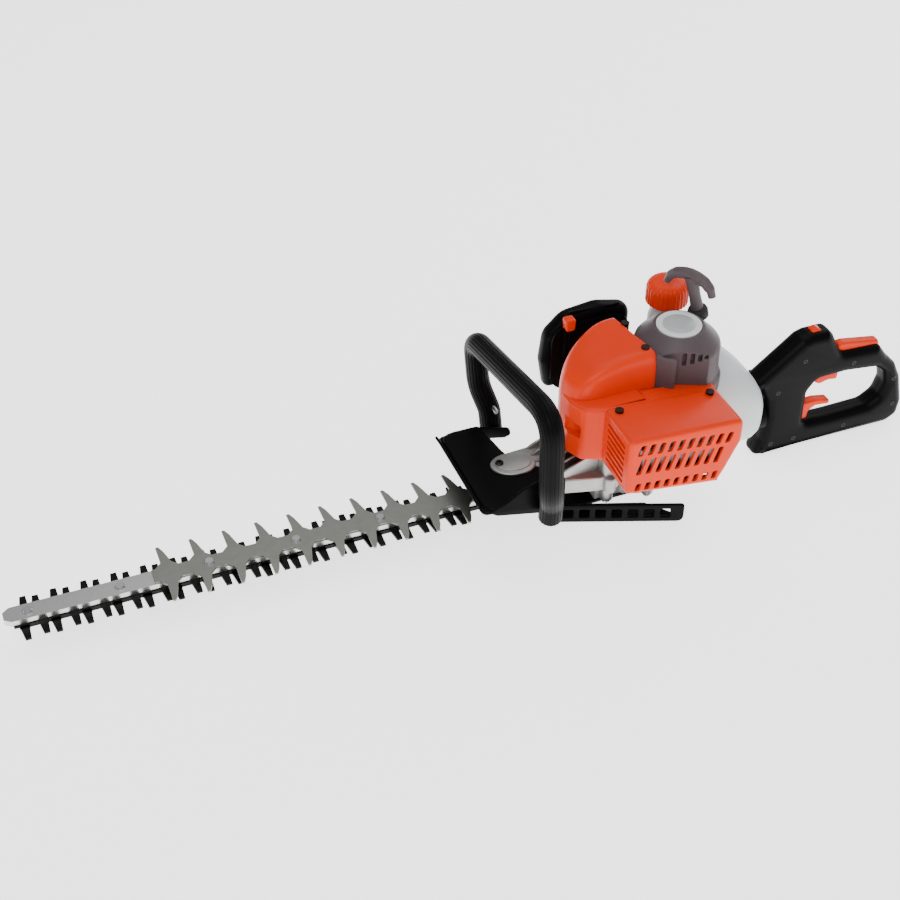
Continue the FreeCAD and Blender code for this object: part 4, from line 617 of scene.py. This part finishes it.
# --- Starter grip ---------------------------------------------------------------------------
# A grey arched T-grip on a tapered stem, leaning forward on the rope's exit, over a black collar.
# It is moulded in one piece round the rope's knot.
GRIP_FOOT = Vector((246, 21, 198))
GRIP_LEAN = Matrix.Rotation(math.radians(-13), 4, "Y")
bar_way = Vector((0.53, -0.85, 0))
grip_top = Vector((235.5, 27, 245.5))
arch = [grip_top + bar_way * reach + Vector((0, 0, drop)) for reach, drop in
        ((-27, -17), (-24, -9), (-17, -3), (-8, 0), (0, 1), (8, 0), (17, -3), (24, -9), (27, -17))]
stem = [GRIP_FOOT + (grip_top - GRIP_FOOT) * share for share in (0.0, 0.08, 0.5, 0.8, 1.0)]
piece("starter_grip", [
    sweep(round_corners(arch, 8, closed=False), circle(6.4, 32),
        lambda share: 1.0 - 0.35 * abs(2 * share - 1) ** 3),
    sweep(stem, circle(8.0, 32), lambda share: (1.0 - 0.45 * share) if share < 0.6 else 0.45 + 0.55 * share)],
    grey_nylon, "starter_grip", sharp=50)
piece("rope_collar", [turned([(11, -2), (11, 5), (10, 7.5), (8.5, 8.5), (7, 8.5)],
                             Matrix.Translation(GRIP_FOOT * MM) @ GRIP_LEAN, 48)], soft_rubber, rides="frame")


# --- Air cleaner ----------------------------------------------------------------------------
# A black clip-on cover with a deep rounded front corner and moulded ribs on its crown.
# Its foam element and the grey carburettor lie behind it.
# Open-cell foam: black, coarse and without any shine.
foam = textured("black_filter_foam", "121212", "262626", 0.85, 0.97, 0.7, 0.5, 0.9, 3, ior=1.3)
# Clear red rubber of the priming bulb beside the carburettor: glossy and slightly uneven.
bulb_rubber = textured("clear_red_bulb", "B5402E", "A03422", 0.18, 0.3, 0.9, 0.02, 0.2, 8, ior=1.45)
dress(foam, "filter_foam")
dress(bulb_rubber, "bulb")
cover_face = round_corners([((101, 92), (8,)), ((198, 90), (8,)), ((200, 180), (16,)), ((161, 189), (30,)),
                            ((121, 184), (24,)), ((99, 163), (22,)), ((95, 128), (20,))], 8, steps=8)
crown_ribs = [sweep([(126, y, 184.3 - fall), (186, y, 182 - fall)], circle(1.3, 12))
        for y, fall in ((87, -2.5), (90.5, -0.5), (94, 2), (97.5, 5))]
face_ring = round_corners([((108, 100), (6,)), ((188, 98), (6,)), ((190, 168), (12,)), ((158, 175), (24,)),
                           ((126, 170), (20,)), ((108, 152), (18,)), ((105, 128), (16,))], 8, steps=8)
piece("air_filter_cover", [plate([cover_face], 21, 9, standing(93.5), 6),
    plate([face_ring], 3, 1.2, standing(104), 3)]
      + crown_ribs, black_nylon, "air_filter_cover", sharp=45)


# --- Choke lever ----------------------------------------------------------------------------
# A small orange knob on a black arm beside the carburettor; it turns on the filter's base.
arm_edge = round_corners([(116, 136), (124, 136), (123, 178), (117, 178)], 3)
knob_edge = round_corners([(115, 176), (125, 176), (126, 190), (114, 190)], 2.5)
piece("choke_lever", [plate([arm_edge], 3, 1, standing(78), 2)], black_nylon, "choke_lever")
piece("choke_knob", [plate([knob_edge], 11, 1.6, standing(73.5), 3)], orange_abs, rides="choke_lever")


# --- Fuel tank and cap ----------------------------------------------------------------------
# A milky blow-moulded tank with a domed rear, and an orange screw cap with a finely ribbed rim.
# The white neck stands up through the shoulder at the right.
# Blow-moulded polyethylene: milky white with a waxy sheen.
tank_hdpe = textured("milky_polyethylene", "D9DFE0", "C9D1D2", 0.34, 0.46, 1.4, 0.06, 0.35, 30, ior=1.5)
dress(tank_hdpe, "tank_plastic")
TANK_HALF_WIDTH = 63
TANK_HALF_HEIGHT = 57
TANK_SQUARENESS = 0.75
tank_rings = []
for x, size, y, z in ((213, 0.9, 20, 100), (214, 0.93, 20, 100), (218, 0.965, 20, 100), (230, 0.99, 20, 100),
                      (246, 1.0, 20, 100), (260, 0.985, 18, 98), (274, 0.945, 14, 95), (286, 0.88, 9, 91),
                      (296, 0.78, 4, 88), (303, 0.66, 0, 86), (308, 0.53, -2, 85), (311.5, 0.39, -3, 84),
                      (313.5, 0.22, -3, 84)):
    ring = []
    for i in range(96):
        turn = 2 * math.pi * i / 96
        across = math.copysign(abs(math.cos(turn)) ** TANK_SQUARENESS, math.cos(turn))
        up = math.copysign(abs(math.sin(turn)) ** TANK_SQUARENESS, math.sin(turn))
        ring.append((x, y + TANK_HALF_WIDTH * across * size, z + TANK_HALF_HEIGHT * up * size))
    tank_rings.append(ring)
swivel_pad = turned([(21, 285), (21, 312), (19, 315.5), (8, 315.5)],
                    Matrix.Translation((0, 0, 55 * MM)) @ Matrix.Rotation(math.radians(90), 4, "Y"), 64)
neck = turned([(19, 150), (18, 172), (16, 178), (14.5, 181), (14.5, 192)], at(232, 67, 0), 64)
piece("fuel_tank", [loft(tank_rings), neck, swivel_pad], tank_hdpe, "fuel_tank", sharp=50)
piece("fuel_cap", [turned([(21.5, 189), (23, 190), (23, 206), (22.2, 210), (20, 213), (16, 215.4),
    (9, 216.4)],
                          at(233, 67, 0), 180, 30, 0.45)], orange_abs, "fuel_cap", sharp=50)


# --- Rear handle ----------------------------------------------------------------------------
# Two black nylon halves screwed together along the middle, with thick rounded bars round the
# finger hole. The seam between the halves stays visible as a fine groove.
handle_edge = round_corners([
    ((321, 1), (6,)), ((500, 1), (18,)), ((515, 10), (12,)), ((517, 30), (14,)), ((508, 66), (20,)),
        ((498, 86), (12,)),
    ((484, 100), (14,)), ((470, 119), (12,)), ((419, 121.5), (10,)), ((404, 150), (6,)), ((398, 156), (6,)),
    ((374, 156), (6,)), ((364, 153), (6,)), ((312, 110), (4,)), ((310, 100), (4,)), ((320, 97), (8,)),
        ((329, 79), (14,)),
    ((332, 57), (20,)), ((329, 23), (14,))], 6, steps=6)
hole_edge = round_corners([
    ((383, 33), (9,)), ((422, 32), (14,)), ((470, 33), (14,)), ((484, 42), (12,)), ((489, 60), (14,)),
        ((484, 78), (12,)),
    ((470, 88), (14,)), ((429, 93), (14,)), ((392, 92), (10,)), ((382, 78), (12,))], 8, steps=6)


SEAM_HALF = 0.25
HANDLE_WIDTH = 29.6


def half_handle(side):
    """One half of the handle, cut from the whole just off the middle."""
    whole = bmesh.new()
    mesh = plate([handle_edge, hole_edge], HANDLE_WIDTH, 10.5, standing(0), 6)
    whole.from_mesh(mesh)
    bmesh.ops.remove_doubles(whole, verts=whole.verts, dist=1e-6)
    parts = whole.verts[:] + whole.edges[:] + whole.faces[:]
    bmesh.ops.bisect_plane(whole, geom=parts, plane_co=(0, side * SEAM_HALF * MM, 0), plane_no=(0, -side, 0),
                           clear_outer=True)
    rim = [edge for edge in whole.edges if edge.is_boundary]
    bmesh.ops.triangle_fill(whole, edges=rim, use_beauty=True)
    whole.to_mesh(mesh)
    whole.free()
    return mesh


piece("handle_left_shell", [half_handle(-1)], black_nylon, "handle_left_shell", sharp=50)
piece("handle_right_shell", [half_handle(1)], black_nylon, "handle_right_shell", sharp=50)
screw_spots = [(341, 17), (340, 90), (371, 17), (369, 126), (438, 16.5), (502, 30), (496, 68), (435, 106.5)]
turn_left = Matrix.Rotation(math.radians(90), 4, "X")
screws = [turned([(1.7, -10), (1.7, 9), (3.2, 11), (3.2, 14.2), (2.6, 15), (1.5, 15), (1.3, 14.2)],
                 Matrix.Translation((x * MM, 0, z * MM)) @ turn_left, 24) for x, z in screw_spots]
piece("handle_screws", screws, black_screw, "handle_screws")
lever = round_corners([(416, 122), (416, 130.5), (424, 131), (470, 123), (473, 115), (468, 106),
    (440, 112)], 3)
piece("lockout_lever", [plate([lever], 12, 3, standing(0), 4)], orange_abs, "lockout_lever")
trigger = round_corners([((393, 96), (4,)), ((393, 84), (6,)), ((400, 79), (6,)), ((412, 82), (10,)),
    ((424, 80), (4,)),
                         ((424, 104), (4,)), ((398, 108), (6,))], 4)
piece("throttle_trigger", [plate([trigger], 12, 3.5, standing(0), 4)], orange_abs, "throttle_trigger")
rocker = round_corners([(378, 148), (390, 148), (390, 157), (384, 160), (378, 158.5)], 1.5)
piece("ignition_switch", [plate([rocker], 10, 1.5, standing(0), 3)], orange_abs, "ignition_switch")
catch = round_corners([((362, 50), (1,)), ((362, 56), (1,)), ((400, 57), (5,)), ((419, 53), (4,)),
    ((419, 47), (3,)),
                       ((400, 49), (6,)), ((392, 44), (5,)), ((391, 34), (3,)), ((379, 34), (3,)),
                           ((376, 48), (4,))], 2)
piece("swivel_lock", [plate([catch], 12, 2.2, standing(0), 4)], orange_abs, "swivel_lock")


# --- Skid -----------------------------------------------------------------------------------
# A black nylon skid under the engine: a flat tie and two rails with a row of windows, like ladders.
# The rails splay outwards and their ends turn up.
RAIL_FRONT = Vector((66, 30))
RAIL_REAR = Vector((197, 79))
rail_way = RAIL_REAR - RAIL_FRONT
rail_turn = math.atan2(rail_way.y, rail_way.x)
rail_length = rail_way.length
WINDOW_PITCH = 17.6
windows = [round_corners([(start, 6.5), (start + 11.5, 6.5), (start + 11.5, 18), (start, 18)], 2)
           for start in (8 + WINDOW_PITCH * i for i in range(7))]
rail_edge = round_corners([((0, 0), (4,)), ((rail_length, 0), (8,)), ((rail_length, 24), (4,)),
    ((4, 24), (6,))], 3)
skid = []
for side in (-1, 1):
    stand = (Matrix.Translation((66 * MM, side * 28 * MM, 0)) @ Matrix.Rotation(side * rail_turn, 4, "Z")
             @ Matrix.Rotation(math.radians(90), 4, "X"))
    skid.append(plate([rail_edge] + windows, 4, 1.2, stand, 3))
    arm = round_corners([(66, 4), (168, 40), (195, 73), (186, 73), (66, 29)], 5)
    skid.append(plate([arm if side > 0 else mirrored(arm)], 6, 2, lying(3), 3))
skid.append(plate([round_corners([(66, -17), (162, -17), (162, 17), (66, 17)], 5)], 6, 2, lying(3), 3))
for spot in ((120, -9), (120, 9), (152, -9), (152, 9)):
    skid.append(turned([(6.5, 5), (6.5, 23.5)], at(spot[0], spot[1], 0), 32))
piece("skid_plate", skid, black_nylon, "skid_plate")
